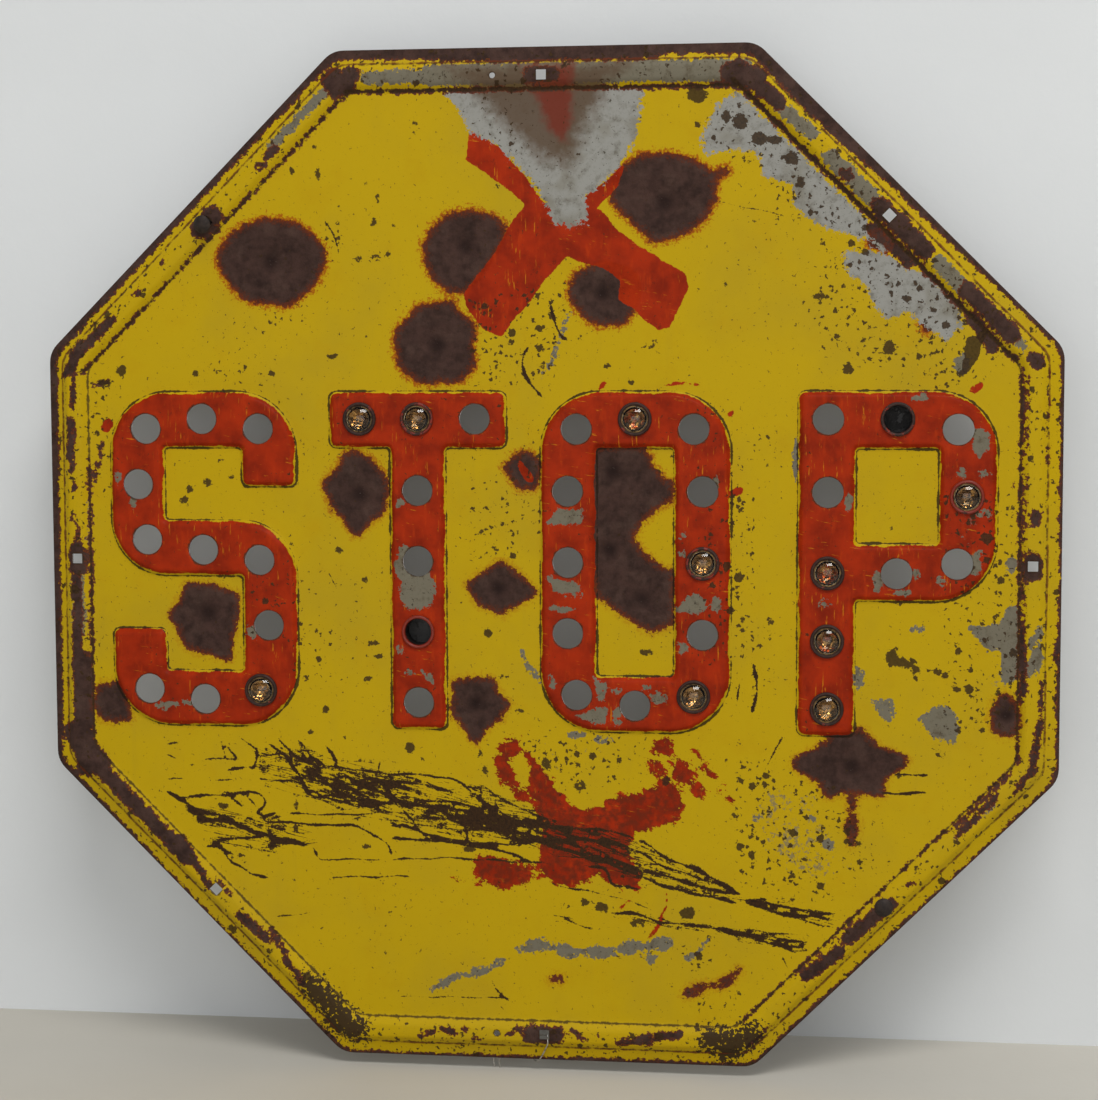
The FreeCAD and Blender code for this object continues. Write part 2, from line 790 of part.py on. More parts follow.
def tag_wire():
    """A thin wire threaded through the bottom bolt hole and over the edge; both ends hang behind."""
    edge = number("across_flats") / 2
    hole = number("bolt_circle") / 2
    hole_side = number("bolt_hole") / 2
    front = number("sheet_thickness + rib_height")
    tails = (-32.0, -28.4)
    hang = edge + 6.8
    # From the left tail up behind the panel, out through the hole's lower right corner, down over
    # the lip, round the edge, and back to the right tail.
    run = [
        (tails[0], 5.4, -hang),
        (tails[0] + 0.6, 6.6, -edge + 2.0),
        (-24.0, 7.4, -edge + 8.0),
        (-9.0, 6.2, -hole - 4.0),
        (hole_side - 2.2, 0.6, -hole - hole_side + 1.4),
        (hole_side - 0.9, -front - 0.2, -hole - hole_side + 0.9),
        (hole_side - 0.5, -front - 1.6, -hole - hole_side - 0.9),
        (hole_side - 1.6, -front - 0.2, -hole - 7.4),
        (-0.9, -2.6, -edge + 4.6),
        (-4.4, -0.4, -edge - 0.5),
        (-6.6, 2.2, -edge - 1.3),
        (-9.5, 4.6, -edge + 0.6),
        (-19.0, 5.6, -edge + 4.2),
        (tails[1] + 1.6, 5.2, -edge + 1.6),
        (tails[1], 4.8, -hang - 0.3),
    ]
    curve = Part.BSplineCurve()
    curve.interpolate([Vector(*spot) for spot in run])
    spine = doc.addObject("Part::Feature", "wire_spine")
    spine.Shape = Part.Wire([curve.toShape()])
    section = doc.addObject("Part::Circle", "wire_section")
    section.setExpression("Radius", bound("wire_diameter / 2"))
    start = curve.StartPoint
    section.Placement = Placement(start, Rotation(Vector(0, 0, 1), curve.tangent(curve.FirstParameter)[0]))
    wire = doc.addObject("Part::Sweep", "tag_wire")
    wire.Sections = [section]
    wire.Spine = (spine, ["Edge1"])
    wire.Solid = True
    wire.Frenet = False
    return wire


# ---------------------------------------------------------------- build, check and write


def check():
    """Stops on any object that failed, and on any finished piece without a sound shape."""
    for thing in doc.Objects:
        if "Invalid" in thing.State or "Error" in thing.State:
            raise RuntimeError(f"{thing.Label} failed: {thing.State}")
    for piece in subparts:
        shape = piece.Shape
        if shape.isNull() or not shape.isValid() or not shape.Solids:
            raise RuntimeError(f"{piece.Label} has no sound shape")


def write():
    os.makedirs("parts", exist_ok=True)
    for piece in subparts:
        piece.Shape.exportStep(f"parts/{piece.Label}.step")


fill_sheet()
subpart(sign_panel())
reflector_buttons()
post_bolts()
subpart(tag_wire())
doc.recompute()
check()
write()
print(len(subparts), "pieces written")
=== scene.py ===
import functools
import math

import bmesh
import bpy
import numpy as np
from mathutils import Matrix, Vector
from mathutils.geometry import delaunay_2d_cdt
from mathutils.kdtree import KDTree


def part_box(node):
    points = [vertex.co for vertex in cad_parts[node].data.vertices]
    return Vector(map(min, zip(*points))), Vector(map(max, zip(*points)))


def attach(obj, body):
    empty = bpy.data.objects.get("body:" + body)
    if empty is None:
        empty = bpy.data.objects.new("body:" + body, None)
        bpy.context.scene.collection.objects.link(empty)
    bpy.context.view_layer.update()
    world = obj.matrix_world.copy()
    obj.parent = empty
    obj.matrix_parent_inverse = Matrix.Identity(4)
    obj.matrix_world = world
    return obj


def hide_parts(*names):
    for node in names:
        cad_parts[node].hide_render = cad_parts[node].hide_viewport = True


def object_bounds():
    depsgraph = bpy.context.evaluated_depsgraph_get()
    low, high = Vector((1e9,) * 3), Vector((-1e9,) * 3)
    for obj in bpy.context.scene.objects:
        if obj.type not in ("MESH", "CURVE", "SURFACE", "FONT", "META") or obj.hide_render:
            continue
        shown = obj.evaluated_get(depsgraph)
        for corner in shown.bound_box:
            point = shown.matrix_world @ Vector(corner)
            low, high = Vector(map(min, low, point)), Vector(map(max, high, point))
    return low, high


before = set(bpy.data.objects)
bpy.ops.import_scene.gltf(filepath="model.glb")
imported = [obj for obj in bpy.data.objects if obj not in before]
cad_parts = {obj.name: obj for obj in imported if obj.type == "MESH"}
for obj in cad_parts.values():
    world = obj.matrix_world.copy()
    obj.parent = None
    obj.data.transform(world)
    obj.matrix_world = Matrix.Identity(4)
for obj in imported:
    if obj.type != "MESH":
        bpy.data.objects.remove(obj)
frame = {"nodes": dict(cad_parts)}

# A weathered octagonal road sign. The panel is rebuilt here as one fine closed mesh with soft
# pressed edges, dents and wear; every other piece keeps its CAD shape and gets its material.
# Lengths are in millimetres, as (across, up) in the plane of the sign, until a mesh is written.

MM = 0.001
cad_low, cad_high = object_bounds()
panel_low, panel_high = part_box("sign_panel")

SHEET = 1.6
APOTHEM = (panel_high.x - panel_low.x) / 2 / MM
OUTLINE_RADIUS = 16.0
RAISE = 2.8
SLOPE = 2.3

# Distance of the border's creases from the centre, and the height of the face there.
BORDER = (
    (APOTHEM - 40.0, 0.0),
    (APOTHEM - 24.8, 0.0),
    (APOTHEM - 20.3, 3.2),
    (APOTHEM - 12.3, 3.2),
    (APOTHEM - 8.8, 0.0),
    (APOTHEM + 6.0, -4.2),
)
INNER_CREASE, OUTER_CREASE = 280.2, 295.8

# The panel's mesh. Its points stand in rings along the border, round the foot of each letter and
# round each reflector hole, and along the scratches. Others fill the plain field and the worn field
# at two spacings, none of them closer to a ring than the least gap.
BORDER_RINGS = (
    303.8, 302, 299.5, 297.3, 296.2, 295, 293.8, 292.6, 291.2, 288.5, 285.8, 284.6, 283.4, 282.2,
    281, 279.8, 278.4, 276,
)
LETTER_RINGS = (-1.6, -0.5, 0.3, 1.2, 2.1, 2.9, 4.2)
HOLE_RINGS = (0.45, 1.2)
PLAIN_PITCH, WORN_PITCH, LEAST_GAP = 4.7, 2.15, 1.25


# ---------------------------------------------------------------- outlines


def rounded_loop(corners, inset=0.0, spacing=2.0):
    """Points round a closed outline of (across, up, radius) corners, moved in by the inset."""
    spots = [Vector(corner[:2]) for corner in corners]
    count = len(spots)
    ways = [(spots[(k + 1) % count] - spots[k]).normalized() for k in range(count)]
    moved, turns, radii = [], [], []
    for k in range(count):
        into, out_of = ways[k - 1], ways[k]
        sides = [Vector((-way.y, way.x)) for way in (into, out_of)]
        moved.append(spots[k] + (sides[0] + sides[1]) * inset / (1 + sides[0].dot(sides[1])))
        turns.append(into.angle_signed(out_of) * -1)
        radii.append(max(corners[k][2] - math.copysign(inset, turns[k]), 0.3))
    loop = []
    for k in range(count):
        into, out_of = ways[k - 1], ways[k]
        reach = radii[k] * math.tan(abs(turns[k]) / 2)
        start, end = moved[k] - into * reach, moved[k] + out_of * reach
        side = Vector((-into.y, into.x)) * math.copysign(radii[k], turns[k])
        centre = start + side
        steps = max(3, math.ceil(radii[k] * abs(turns[k]) / spacing))
        for step in range(steps):
            arm = start - centre
            arm.rotate(Matrix.Rotation(turns[k] * step / steps, 2))
            loop.append(centre + arm)
        after = (k + 1) % count
        next_reach = radii[after] * math.tan(abs(turns[after]) / 2)
        goal = moved[after] - out_of * next_reach
        pieces = max(1, round((goal - end).length / spacing))
        loop.extend(end.lerp(goal, step / pieces) for step in range(pieces))
    return np.array([tuple(spot) for spot in loop])


def octagon(apothem, radius=0.3):
    """The corners of an octagon with flats at that distance."""
    reach = apothem / math.cos(math.radians(22.5))
    angles = [math.radians(22.5 + 45 * k) for k in range(8)]
    return [(reach * math.cos(a), reach * math.sin(a), radius) for a in angles]


def circle(centre, radius, count):
    angles = np.arange(count) * 2 * math.pi / count
    return np.array(centre) + radius * np.c_[np.cos(angles), np.sin(angles)]


def letter_outlines():
    """The foot of each raised letter as closed runs of corners, with the letter on their left."""
    half, stroke, bowl, tip, inner = 101.6, 33.0, 36.0, 4.0, 2.5
    top, bottom = half, -half
    under, above = top - stroke, bottom + stroke

    def shifted(centre, corners):
        return [(x + centre, z, radius) for x, z, radius in corners]

    def window(left, right, low, high):
        return [(left, low, inner), (left, high, inner), (right, high, inner), (right, low, inner)]

    w = 57.5
    first = [
        (-w, top, bowl), (-w, -9.5, bowl - 2), (w - stroke, -9.5, inner), (w - stroke, above, inner),
        (stroke - w, above, inner), (stroke - w, -43, tip), (-w, -43, tip), (-w, bottom, bowl),
        (w, bottom, bowl), (w, 23.5, bowl - 2), (stroke - w, 23.5, inner), (stroke - w, under, inner),
        (w - stroke, under, inner), (w - stroke, 45, tip), (w, 45, tip), (w, top, bowl),
    ]
    bar, stem = 53.5, stroke / 2
    second = [
        (-bar, top, tip), (-bar, under, tip), (-stem, under, inner), (-stem, bottom, tip),
        (stem, bottom, tip), (stem, under, inner), (bar, under, tip), (bar, top, tip),
    ]
    o = 56.5
    third = [(-o, top, bowl), (-o, bottom, bowl), (o, bottom, bowl), (o, top, bowl)]
    fourth = [
        (-w, top, tip), (-w, bottom, tip), (stroke - w, bottom, tip), (stroke - w, -21, inner),
        (w, -21, bowl), (w, top, bowl),
    ]
    return [
        shifted(-208.5, first),
        shifted(-75.8, second),
        shifted(55.4, third),
        shifted(55.4, window(stroke - o, o - stroke, above, under)),
        shifted(209.5, fourth),
        shifted(209.5, window(stroke - w, w - stroke, 12, under)),
    ]


def cad_openings():
    """Every hole of the CAD panel, from the upright walls of its mesh: (centre, size, corners)."""
    shape = bmesh.new()
    shape.from_mesh(frame["nodes"]["sign_panel"].data)
    bmesh.ops.remove_doubles(shape, verts=shape.verts, dist=0.02 * MM)
    walls = {face for face in shape.faces if abs(face.normal.y) < 0.3}
    openings = []
    while walls:
        stack, spots = [walls.pop()], set()
        while stack:
            for vert in stack.pop().verts:
                spots.add((round(vert.co.x / MM, 2), round(vert.co.z / MM, 2)))
                near = [face for face in vert.link_faces if face in walls]
                walls.difference_update(near)
                stack.extend(near)
        run = np.array(sorted(spots))
        middle = (run.max(0) + run.min(0)) / 2
        reach = np.hypot(*(run - middle).T)
        if reach.max() < 20:
            openings.append((middle, reach.max(), run if len(run) <= 8 else None))
    shape.free()
    return sorted(openings, key=lambda opening: tuple(opening[0]))


# ---------------------------------------------------------------- distances


REACH = 16.0


def segment_distance(points, a, b):
    """The points near a straight piece, their distance from it, and how far along it they are."""
    a, b = np.array(a, float), np.array(b, float)
    low, high = np.minimum(a, b) - REACH, np.maximum(a, b) + REACH
    x, z = points.T
    near = np.nonzero((x > low[0]) & (x < high[0]) & (z > low[1]) & (z < high[1]))[0]
    way, aside = b - a, points[near] - a
    along = np.clip((aside @ way) / max(way @ way, 1e-9), 0, 1)
    return near, np.hypot(*(aside - along[:, None] * way).T), along


def region_distance(points, loops):
    """Signed distance from a region between closed loops, negative inside."""
    nearest = np.full(len(points), REACH)
    inside = np.zeros(len(points), bool)
    x, z = points.T
    for loop in loops:
        loop = np.array(loop, float)
        for a, b in zip(loop, np.roll(loop, -1, axis=0)):
            near, away, _ = segment_distance(points, a, b)
            nearest[near] = np.minimum(nearest[near], away)
            if a[1] != b[1]:
                crossing = (a[1] > z) != (b[1] > z)
                inside ^= crossing & (x < (b[0] - a[0]) * (z - a[1]) / (b[1] - a[1]) + a[0])
    return np.where(inside, -nearest, nearest)


def stroke_distance(points, line):
    """Distance from a brush stroke: a run of (across, up, half width)."""
    nearest = np.full(len(points), REACH)
    for (ax, az, aw), (bx, bz, bw) in zip(line, line[1:]):
        near, away, along = segment_distance(points, (ax, az), (bx, bz))
        nearest[near] = np.minimum(nearest[near], away - aw - (bw - aw) * along)
    return nearest


def spot_distance(points, spot, draw):
    """Distance from a rounded spot with an uneven outline: centre, half sizes, and its points."""
    across, up, half_width, half_height, *tips = spot
    dx, dz = points[:, 0] - across, points[:, 1] - up
    angle, length = np.arctan2(dz, dx), np.hypot(dx, dz)
    radius = length / np.maximum(np.hypot(dx / half_width, dz / half_height), 1e-6)
    for order in range(2, 9):
        radius *= 1 + draw.normal(0, 0.035 / order**0.5) * np.cos(order * angle + draw.uniform(0, 6.3))
    for direction, reach in tips:
        away = (angle - math.radians(direction) + math.pi) % (2 * math.pi) - math.pi
        radius += reach * np.exp(-((away / 0.25) ** 2))
    return length - radius


def apothem_of(points):
    """Distance from the centre measured square to the nearest side, rounded off at the corners."""
    angles = np.radians(45.0 * np.arange(8))
    reach = points @ np.array([np.cos(angles), np.sin(angles)])
    most = np.maximum(reach.max(1), 1e-6)
    sharpness = 170.0
    share = np.maximum(reach / most[:, None], 0) ** sharpness
    return most * share.sum(1) ** (1 / sharpness)


def side_place(side, along, apothem):
    """A place beside a straight side: the side counted from the right one anticlockwise."""
    angle = math.radians(45 * side)
    out, left = Vector((math.cos(angle), math.sin(angle))), Vector((-math.sin(angle), math.cos(angle)))
    return tuple(out * apothem + left * along)


# ---------------------------------------------------------------- where the wear is

# Bare rust: centre, half width, half height, and points (direction in degrees, reach).
RUST_SPOTS = (
    (-164.5, 180, 32, 26, (175, 2), (10, 3), (-70, 2)), (-64, 130, 25, 25, (180, 2), (70, 2)),
    (38, 160, 21, 19, (180, 2), (-60, 2)), (-112.5, 42, 19, 22, (-92, 4), (170, 3), (105, 3)),
    (-11, 55, 10.5, 11.5, (172, 3), (-60, 2)), (-26, -16, 17, 14, (176, 5), (-8, 5), (85, 3), (-85, 3)),
    (-207.5, -36, 20, 22, (178, 5), (-62, 9), (-125, 2), (120, 3), (40, 4)),
    (-40.5, -87, 16, 17, (5, 4), (-93, 7), (140, 5), (60, 3)),
    (183, -119, 24, 18, (178, 11), (4, 11), (-125, 5), (-45, 6), (75, 6), (110, 6)),
    (-269, -89, 12, 13, (-40, 4), (60, 2)), (273.5, -89, 9, 13, (100, 2)), (198, 189, 7, 6, (-60, 4)),
    (7, -254, 5, 2.5), (270, -44, 3, 3), (226, 142, 4.5, 6),
)
RUST_REGIONS = (
    [(28, 70), (62, 70), (66, 59), (72, 51), (79, 48), (79, 36), (70, 33), (61, 25), (54, 15), (60, 7),
     (70, -1), (79, -5), (79, -37), (66, -42), (55, -37), (42, -28), (31, -20), (28, 0)],
    [(40, 222), (45, 233), (58, 241), (76, 242), (91, 237), (101, 231), (110, 234), (111, 230),
     (103, 224), (103, 213), (97, 203), (91, 197), (78, 191), (66, 189), (57, 197), (47, 206), (41, 214)],
    [(-72, 190), (-65, 201), (-56, 208), (-42, 210), (-28, 206), (-20, 198), (-26, 184), (-36, 170),
     (-45, 160), (-56, 161), (-66, 168), (-71, 179)],
)
RUST_STROKES = (
    (3.2, (184, -138), (185, -160), (184, -169)), (2.6, (84, -261), (98, -256), (110, -253), (120, -244)),
)

# Larger chips: centre, half width, half height.
CHIPS = (
    (207, -55, 3.6, 5.5, (60, 3)), (214, -58, 5.5, 2.8, (170, 3)), (135, -34, 2.4, 2.4),
    (129, -49, 2, 1.8), (234, -63, 2.4, 2.2), (238, -65, 2.2, 2.8), (120, -40, 2, 1.2),
    (212, -23, 1.8, 1.8), (236, -112, 3, 1.8), (212, -125, 2, 2), (-160, 96, 1.2, 1.2),
    (-99, 217, 1.2, 3), (-76, 261, 1.5, 1.5), (-137, 248, 1.6, 1.6), (-135, 232, 1.8, 4),
    (-101, 203, 2.2, 2.2), (-111, 181, 2, 2), (-89, 201, 1.3, 1.3), (-128, 123, 3, 1.4, (20, 2)),
    (-76, 256, 1.2, 1.2), (-154, -165, 1.4, 3), (-82, -114, 3, 3.4), (-144, -105, 1.6, 1.8),
    (-110, -175, 3, 1.6), (92, 275, 6, 5), (117, 259, 5, 4.5), (128, 249, 5, 4), (137, 248, 4, 3),
    (147, 237, 4.5, 4), (152, 223, 3, 3), (109, 262, 3, 3.6), (180, 115, 3.5, 3.5), (204, 127, 4, 4),
    (164, 157, 4.5, 1.8), (92, 258, 2.2, 2), (67, 131, 2, 2), (63, 128, 3.4, 0.9), (39, 117, 2.4, 1.2),
    (53, 107, 1.8, 1.4), (0, 117, 1.6, 1.9), (22, 134, 2.2, 1.1), (109, 165, 1.4, 1.4),
    (-259, 115, 3.3, 3), (-270, 108, 5.5, 1.7), (-221, 36, 2.6, 2.4), (-217, 43, 2.3, 2.4),
    (-206, 47, 2.8, 2.6), (-197, 60, 2.9, 1), (-191, 50, 2, 1.6), (-212, 113, 1.8, 2.2),
    (-199, 114, 3, 1.1), (-165, 113, 2.2, 1.8), (-104, -50, 3.8, 1.6), (-101, -58, 3.2, 1.5),
    (-108, -72, 3, 1.4), (-125, 6, 2, 2), (-109, -12, 2, 1.8), (-134, -91, 2.4, 2.4),
    (-101, 182, 2.2, 2.4), (-93, 184, 1.6, 2), (-151, 234, 1.8, 2.2), (245, -73, 2, 2),
    (252, -73, 2.3, 3), (112, -28, 2.4, 1.8), (118, 32, 1.6, 1.6), (-24, -70, 3.2, 1.1),
    (-34, -43, 3, 2.6), (-38, 17, 1.8, 1.4), (-29, 8, 2.4, 1.4), (-14, -90, 3, 1.4), (62, -54, 4.2, 2),
    (-171, 259, 2.4, 1.4), (22, -135, 3.5, 3), (1, -122, 2.6, 4), (20, -122, 2, 1.8), (74, -131, 2.4, 3),
    (35, -209, 4, 3), (11, -209, 5, 1.6), (25, -206, 3, 2.2), (57, -218, 5, 2.6), (87, -211, 5, 3.6),
    (188, -166, 2, 2), (116, -151, 2.4, 1.6), (-199, -152, 4.5, 1.8), (-153, -151, 1.6, 2.6),
    (-188, -183, 2.8, 1.4), (-169, -177, 2.6, 2.8), (-115, -158, 2.2, 1.5), (-46, -175, 3.6, 2.6),
    (-39, -117, 2, 2.2), (-36, -127, 1.8, 3), (221, -62, 3, 3, (110, 5), (-90, 4), (0, 6), (180, 4)),
    (252, 126, 5, 8, (-110, 8), (55, 8)),
)

# Red paint brushed over the field: regions by their corners; strokes by half width and places.
RED_REGIONS = (
    [(-43, 256), (-26, 247), (-10, 230), (0, 215), (16, 198), (8, 190), (-12, 214), (-30, 229),
     (-46, 239)],
    [(10, 206), (34, 209), (46, 197), (60, 186), (70, 180), (86, 170), (87, 163), (80, 148), (76, 140),
     (70, 138), (62, 143), (55, 150), (46, 156), (47, 168), (38, 175), (24, 178), (12, 182)],
    [(24, 216), (38, 225), (51, 238), (44, 222), (33, 210), (24, 204)],
    [(16, 208), (16, 183), (0, 165), (-12, 150), (-25, 134), (-36, 139), (-45, 152), (-47, 160),
     (-38, 172), (-28, 185), (-18, 202), (-8, 216)],
)
RED_STROKES = (
    (2.2, (-14, 62), (-10, 52), (-6, 47)), (0.9, (71, 105), (84, 107), (95, 106)),
    (1.6, (34, 103), (38, 108)), (2.2, (109, 40), (114, 43), (120, 43)), (2, (111, 88), (114, 90)),
    (2, (250, 102), (256, 104), (258, 107)), (2.8, (-272, 78), (-266, 84)), (0.5, (43, -213), (60, -196)),
    (0.5, (74, -195), (75, -203), (70, -218), (59, -234)),
)
SMEAR_REGIONS = (
    [(-30, -120), (-27, -110), (-19, -105), (-13, -108), (-16, -116), (-20, -122), (-16, -134),
     (-8, -143), (-13, -147), (-22, -139), (-29, -130)],
    [(-14, -112), (-8, -116), (0, -124), (6, -134), (14, -144), (26, -150), (36, -144), (46, -139),
     (58, -138), (66, -134), (72, -128), (78, -134), (84, -140), (86, -148), (80, -155), (68, -160),
     (56, -164), (52, -172), (56, -182), (60, -190), (56, -198), (46, -196), (34, -190), (22, -196),
     (8, -197), (-4, -190), (-3, -178), (-2, -160), (-6, -148), (-12, -136), (-8, -126)],
    [(-4, -184), (-24, -180), (-40, -177), (-44, -186), (-40, -196), (-26, -200), (-10, -196)],
)
SMEAR_STROKES = (
    (4.5, (70, -107), (86, -129), (95, -139)), (3, (61, -114), (74, -129), (82, -141)),
    (2, (89, -112), (98, -121), (105, -131), (114, -144)), (1.4, (-45, -196), (-58, -194)),
)

# Places where the small chips crowd.
SPECKLE_REGIONS = (
    [(-45, 105), (-45, 160), (20, 165), (5, 105)],
    [(112, -118), (116, -190), (150, -206), (196, -186), (190, -140), (140, -118)],
    [(-42, 0), (-42, 45), (-12, 45), (-12, 0)], [(-20, -104), (10, -140), (60, -128), (60, -104)],
    [(150, 150), (180, 195), (255, 150), (255, 100), (200, 110)],
    [(95, 242), (106, 272), (120, 273), (206, 188), (186, 190), (148, 206), (130, 230)],
    [(-285, 40), (-285, 110), (-262, 110), (-262, 40)], [(96, -60), (96, 60), (125, 60), (125, -60)],
    [(238, -100), (238, 40), (285, 40), (285, -100)],
)

# Scattered flecks of grey, like lichen.
LICHEN_REGIONS = (
    [(118, -122), (122, -160), (136, -190), (170, -196), (186, -180), (178, -142), (150, -122)],
    [(-14, -104), (6, -130), (40, -122), (50, -106)], [(80, -232), (100, -222), (104, -240), (88, -250)],
    [(258, -20), (258, -84), (284, -84), (284, -20)], [(240, 10), (240, 40), (262, 40), (262, 10)],
)

# Paint worn down to light grey primer.
GREY_REGIONS = (
    [(-60, 281), (60, 281), (58, 262), (54, 245), (46, 234), (34, 222), (26, 216), (27, 200), (8, 201),
     (0, 218), (-12, 232), (-24, 246), (-42, 255), (-50, 268)],
    [(94, 250), (98, 240), (114, 243), (128, 240), (131, 227), (147, 222), (150, 208), (162, 199),
     (176, 194), (192, 190), (201, 180), (206, 186), (190, 202), (165, 227), (140, 252), (118, 275),
     (106, 272), (100, 262)],
    [(178, 182), (180, 170), (191, 162), (195, 150), (204, 144), (215, 148), (228, 136), (238, 132),
     (247, 140), (242, 154), (228, 170), (214, 172), (204, 181), (190, 184)],
)
# Darker, olive grey, on the field and on the letters.
OLIVE_SPOTS = (
    (236.5, -93, 10, 10, (-60, 5), (170, 3)), (268, -42, 11, 8, (160, 7), (60, 7), (-50, 9)),
    (277, -60, 7, 6), (276, 0, 3, 5, (30, 4)), (150, 62, 1.5, 14), (188, -67, 3, 7),
    (206, -86, 3, 7, (130, 4)), (170, -167, 3.5, 4), (20, -104, 7, 2), (36, -107, 6, 2),
    (128, -152, 3, 2), (162, -152, 3, 2), (222, -38, 4, 2), (-76, -17, 11, 13, (130, 10)),
    (-84, 3, 3.5, 7), (-86, 35, 2.6, 2.6), (-82, -67, 2.2, 1.2), (-70, -70, 2.4, 2.4, (130, 4), (-50, 4)),
    (-87, -54, 2, 3), (15, 27, 9, 5, (200, 4), (30, 3)), (14, -15, 8, 4, (150, 8), (-30, 6)),
    (12, -28, 7, 1.6, (170, 3)), (35, -77, 3, 6, (120, 4)), (44, -77, 3, 2), (33, -92, 6, 5, (180, 7)),
    (45, -92, 3, 6), (62, -74, 4, 1.4), (70, -81, 5, 3, (150, 3)), (91, -24, 7, 6, (-160, 6)),
    (104, -24, 3, 5), (84, -50, 3, 4), (84, 17, 2.4, 2.6), (84, 6, 2, 1.8), (6, -73, 2, 4, (120, 3)),
    (103, 46, 2, 6), (257, 72, 5, 8, (120, 4)), (181, 37, 2.6, 5), (167, -23, 3.5, 2.2), (199, -10, 3, 6),
    (213, -16, 5, 2.2), (221, -5, 2.2, 2.6), (235, -9, 3, 3), (254, 1, 4, 7, (60, 4)), (259, 31, 5, 2.2),
    (246, 55, 2.6, 3), (259, 54, 4, 1.6), (222, 98, 5, 1.6, (40, 3)), (-252, 34, 2, 5),
    (-235, -90, 7, 2, (10, 4)), (-218, -88, 6, 1.6), (-261, 50, 1.6, 4), (-178, -44, 4, 4),
    (246, 118, 5, 6),
)
OLIVE_STROKES = (
    (2, (196, -78), (200, -84), (204, -92)), (1.4, (-14, -52), (-8, -64), (-1, -76)),
    (1, (17, 150), (12, 136), (6, 122), (-2, 108)),
    (2.2, (-72, -264), (-52, -253), (-36, -250), (-24, -243)),
    (3.2, (-18, -236), (0, -233), (14, -237), (34, -237), (54, -233), (78, -229)),
    (1.4, (84, -240), (92, -236), (100, -226)), (5, (62, -240), (68, -238)),
)

# Soft brown and red stains under the top of the rib.
STAINS = ([(-62, 295), (56, 295), (42, 284), (30, 262), (16, 232), (2, 236), (-20, 256), (-46, 284)],)
RED_STAINS = ([(-10, 293), (20, 293), (18, 262), (13, 248), (4, 256)],)

# Dents in the field: centre, radius and depth.
DENTS = (
    (-165, 180, 9, 1.6), (-46, 188, 8, 1), (-63, 130, 9, 1.5), (73, 213, 9, 1.7), (36, 160, 8, 1),
    (-112, 40, 9, 1.4), (-27, -16, 8, 0.9), (-207, -33, 8, 1.4), (42, 55, 9, 1.2), (40, 8, 8, 1),
    (60, -22, 8, 0.9), (-42, -86, 8, 1.1), (184, -120, 9, 1.5), (274, -88, 7, 0.8),
)

# Wear along the border, side by side: from and to (millimetres from the middle of the side, the
# anticlockwise end first), the distance from the centre at both ends, and the half width.
BORDER_RUST = (
    ((120, 120, 288, 288, 4.5), (30, 27, 289, 289, 3.5), (3, -3, 288, 288, 6), (114, 75, 281, 281, 1.6),
     (75, -116, 280.6, 280.6, 1.4), (-38, -74, 282, 283, 2.8), (110, -80, 284, 283.4, 0.7),
     (-68, -92, 294, 293, 1.4), (-92, -120, 293, 289, 2.6), (48, 48, 278, 276, 1.6),
     (112, 60, 295.6, 295.6, 0.6), (46, 44, 303, 303, 1.5), (-46, -54, 303, 302, 2.4)),
    ((124, 92, 287, 289, 5), (36, 33, 287, 287, 3.6), (8, -28, 288, 288, 6), (-62, -98, 289, 289, 5.4),
     (-117, -121, 288, 288, 4), (2, -26, 276, 277, 4), (-76, -96, 280, 276, 4),
     (126, -110, 280, 280, 1.8)),
    ((126, 118, 287, 285, 7), (-112, -126, 287, 284, 7), (6, -6, 288, 288, 5),
     (126, -126, 279.8, 279.8, 1.7), (62, -60, 296, 296, 0.8), (58, -66, 300, 300, 4)),
    ((128, 108, 288, 290, 3), (108, 84, 290, 289, 3.4), (62, 59, 289, 289, 2), (38, 36, 291, 290, 1.3),
     (5, -5, 288, 288, 6.5), (-46, -48, 288, 287, 2.6), (-54, -60, 289, 288, 3),
     (-112, -124, 286, 286, 6), (120, -120, 280.4, 280.4, 1.2)),
    ((130, 64, 286, 286, 6.5), (64, 42, 289, 289, 3.6), (42, 12, 288, 289, 3.4), (5, -5, 288, 288, 6),
     (-10, -18, 289, 287, 1.6), (-24, -26, 290, 290, 1.6), (-42, -46, 289, 289, 2),
     (-52, -60, 291, 289, 1.8), (-62, -84, 291, 290, 3), (-92, -110, 289, 288, 2),
     (-116, -130, 290, 284, 4), (60, -60, 280, 280, 1.3), (-48, -70, 277, 272, 1.6),
     (-106, -108, 276, 268, 1.8)),
    ((78, 62, 290, 288, 2.4), (58, 42, 285, 281, 2), (44, 22, 287, 288, 3.2), (10, -2, 284, 283, 1.5),
     (-4, -26, 290, 284, 2.6), (-28, -36, 287, 286, 6.5), (-40, -106, 287, 287, 5),
     (-106, -130, 286, 284, 7.5)),
    ((82, 62, 285, 288, 3), (64, 46, 290, 291, 2.6), (38, 38, 291, 290, 1), (33, 33, 289, 287, 1),
     (24, 18, 290, 285, 1.6), (8, -8, 288, 288, 5.5), (-6, -16, 286, 285, 2.2), (-21, -22, 288, 289, 1.8),
     (-40, -43, 292, 292, 1.2), (-47, -49, 287, 285, 1.6), (-56, -62, 288, 287, 2.6),
     (-68, -76, 288, 291, 1.8)),
    ((122, 104, 289, 291, 2.4), (94, 62, 286, 287, 2.2), (108, 62, 282, 282, 1.6), (24, 20, 290, 289, 2),
     (4, -28, 289, 287, 4.4), (-38, -62, 289, 286, 4.4), (-100, -118, 293.5, 293, 1),
     (110, -110, 280.2, 280.2, 1)),
)
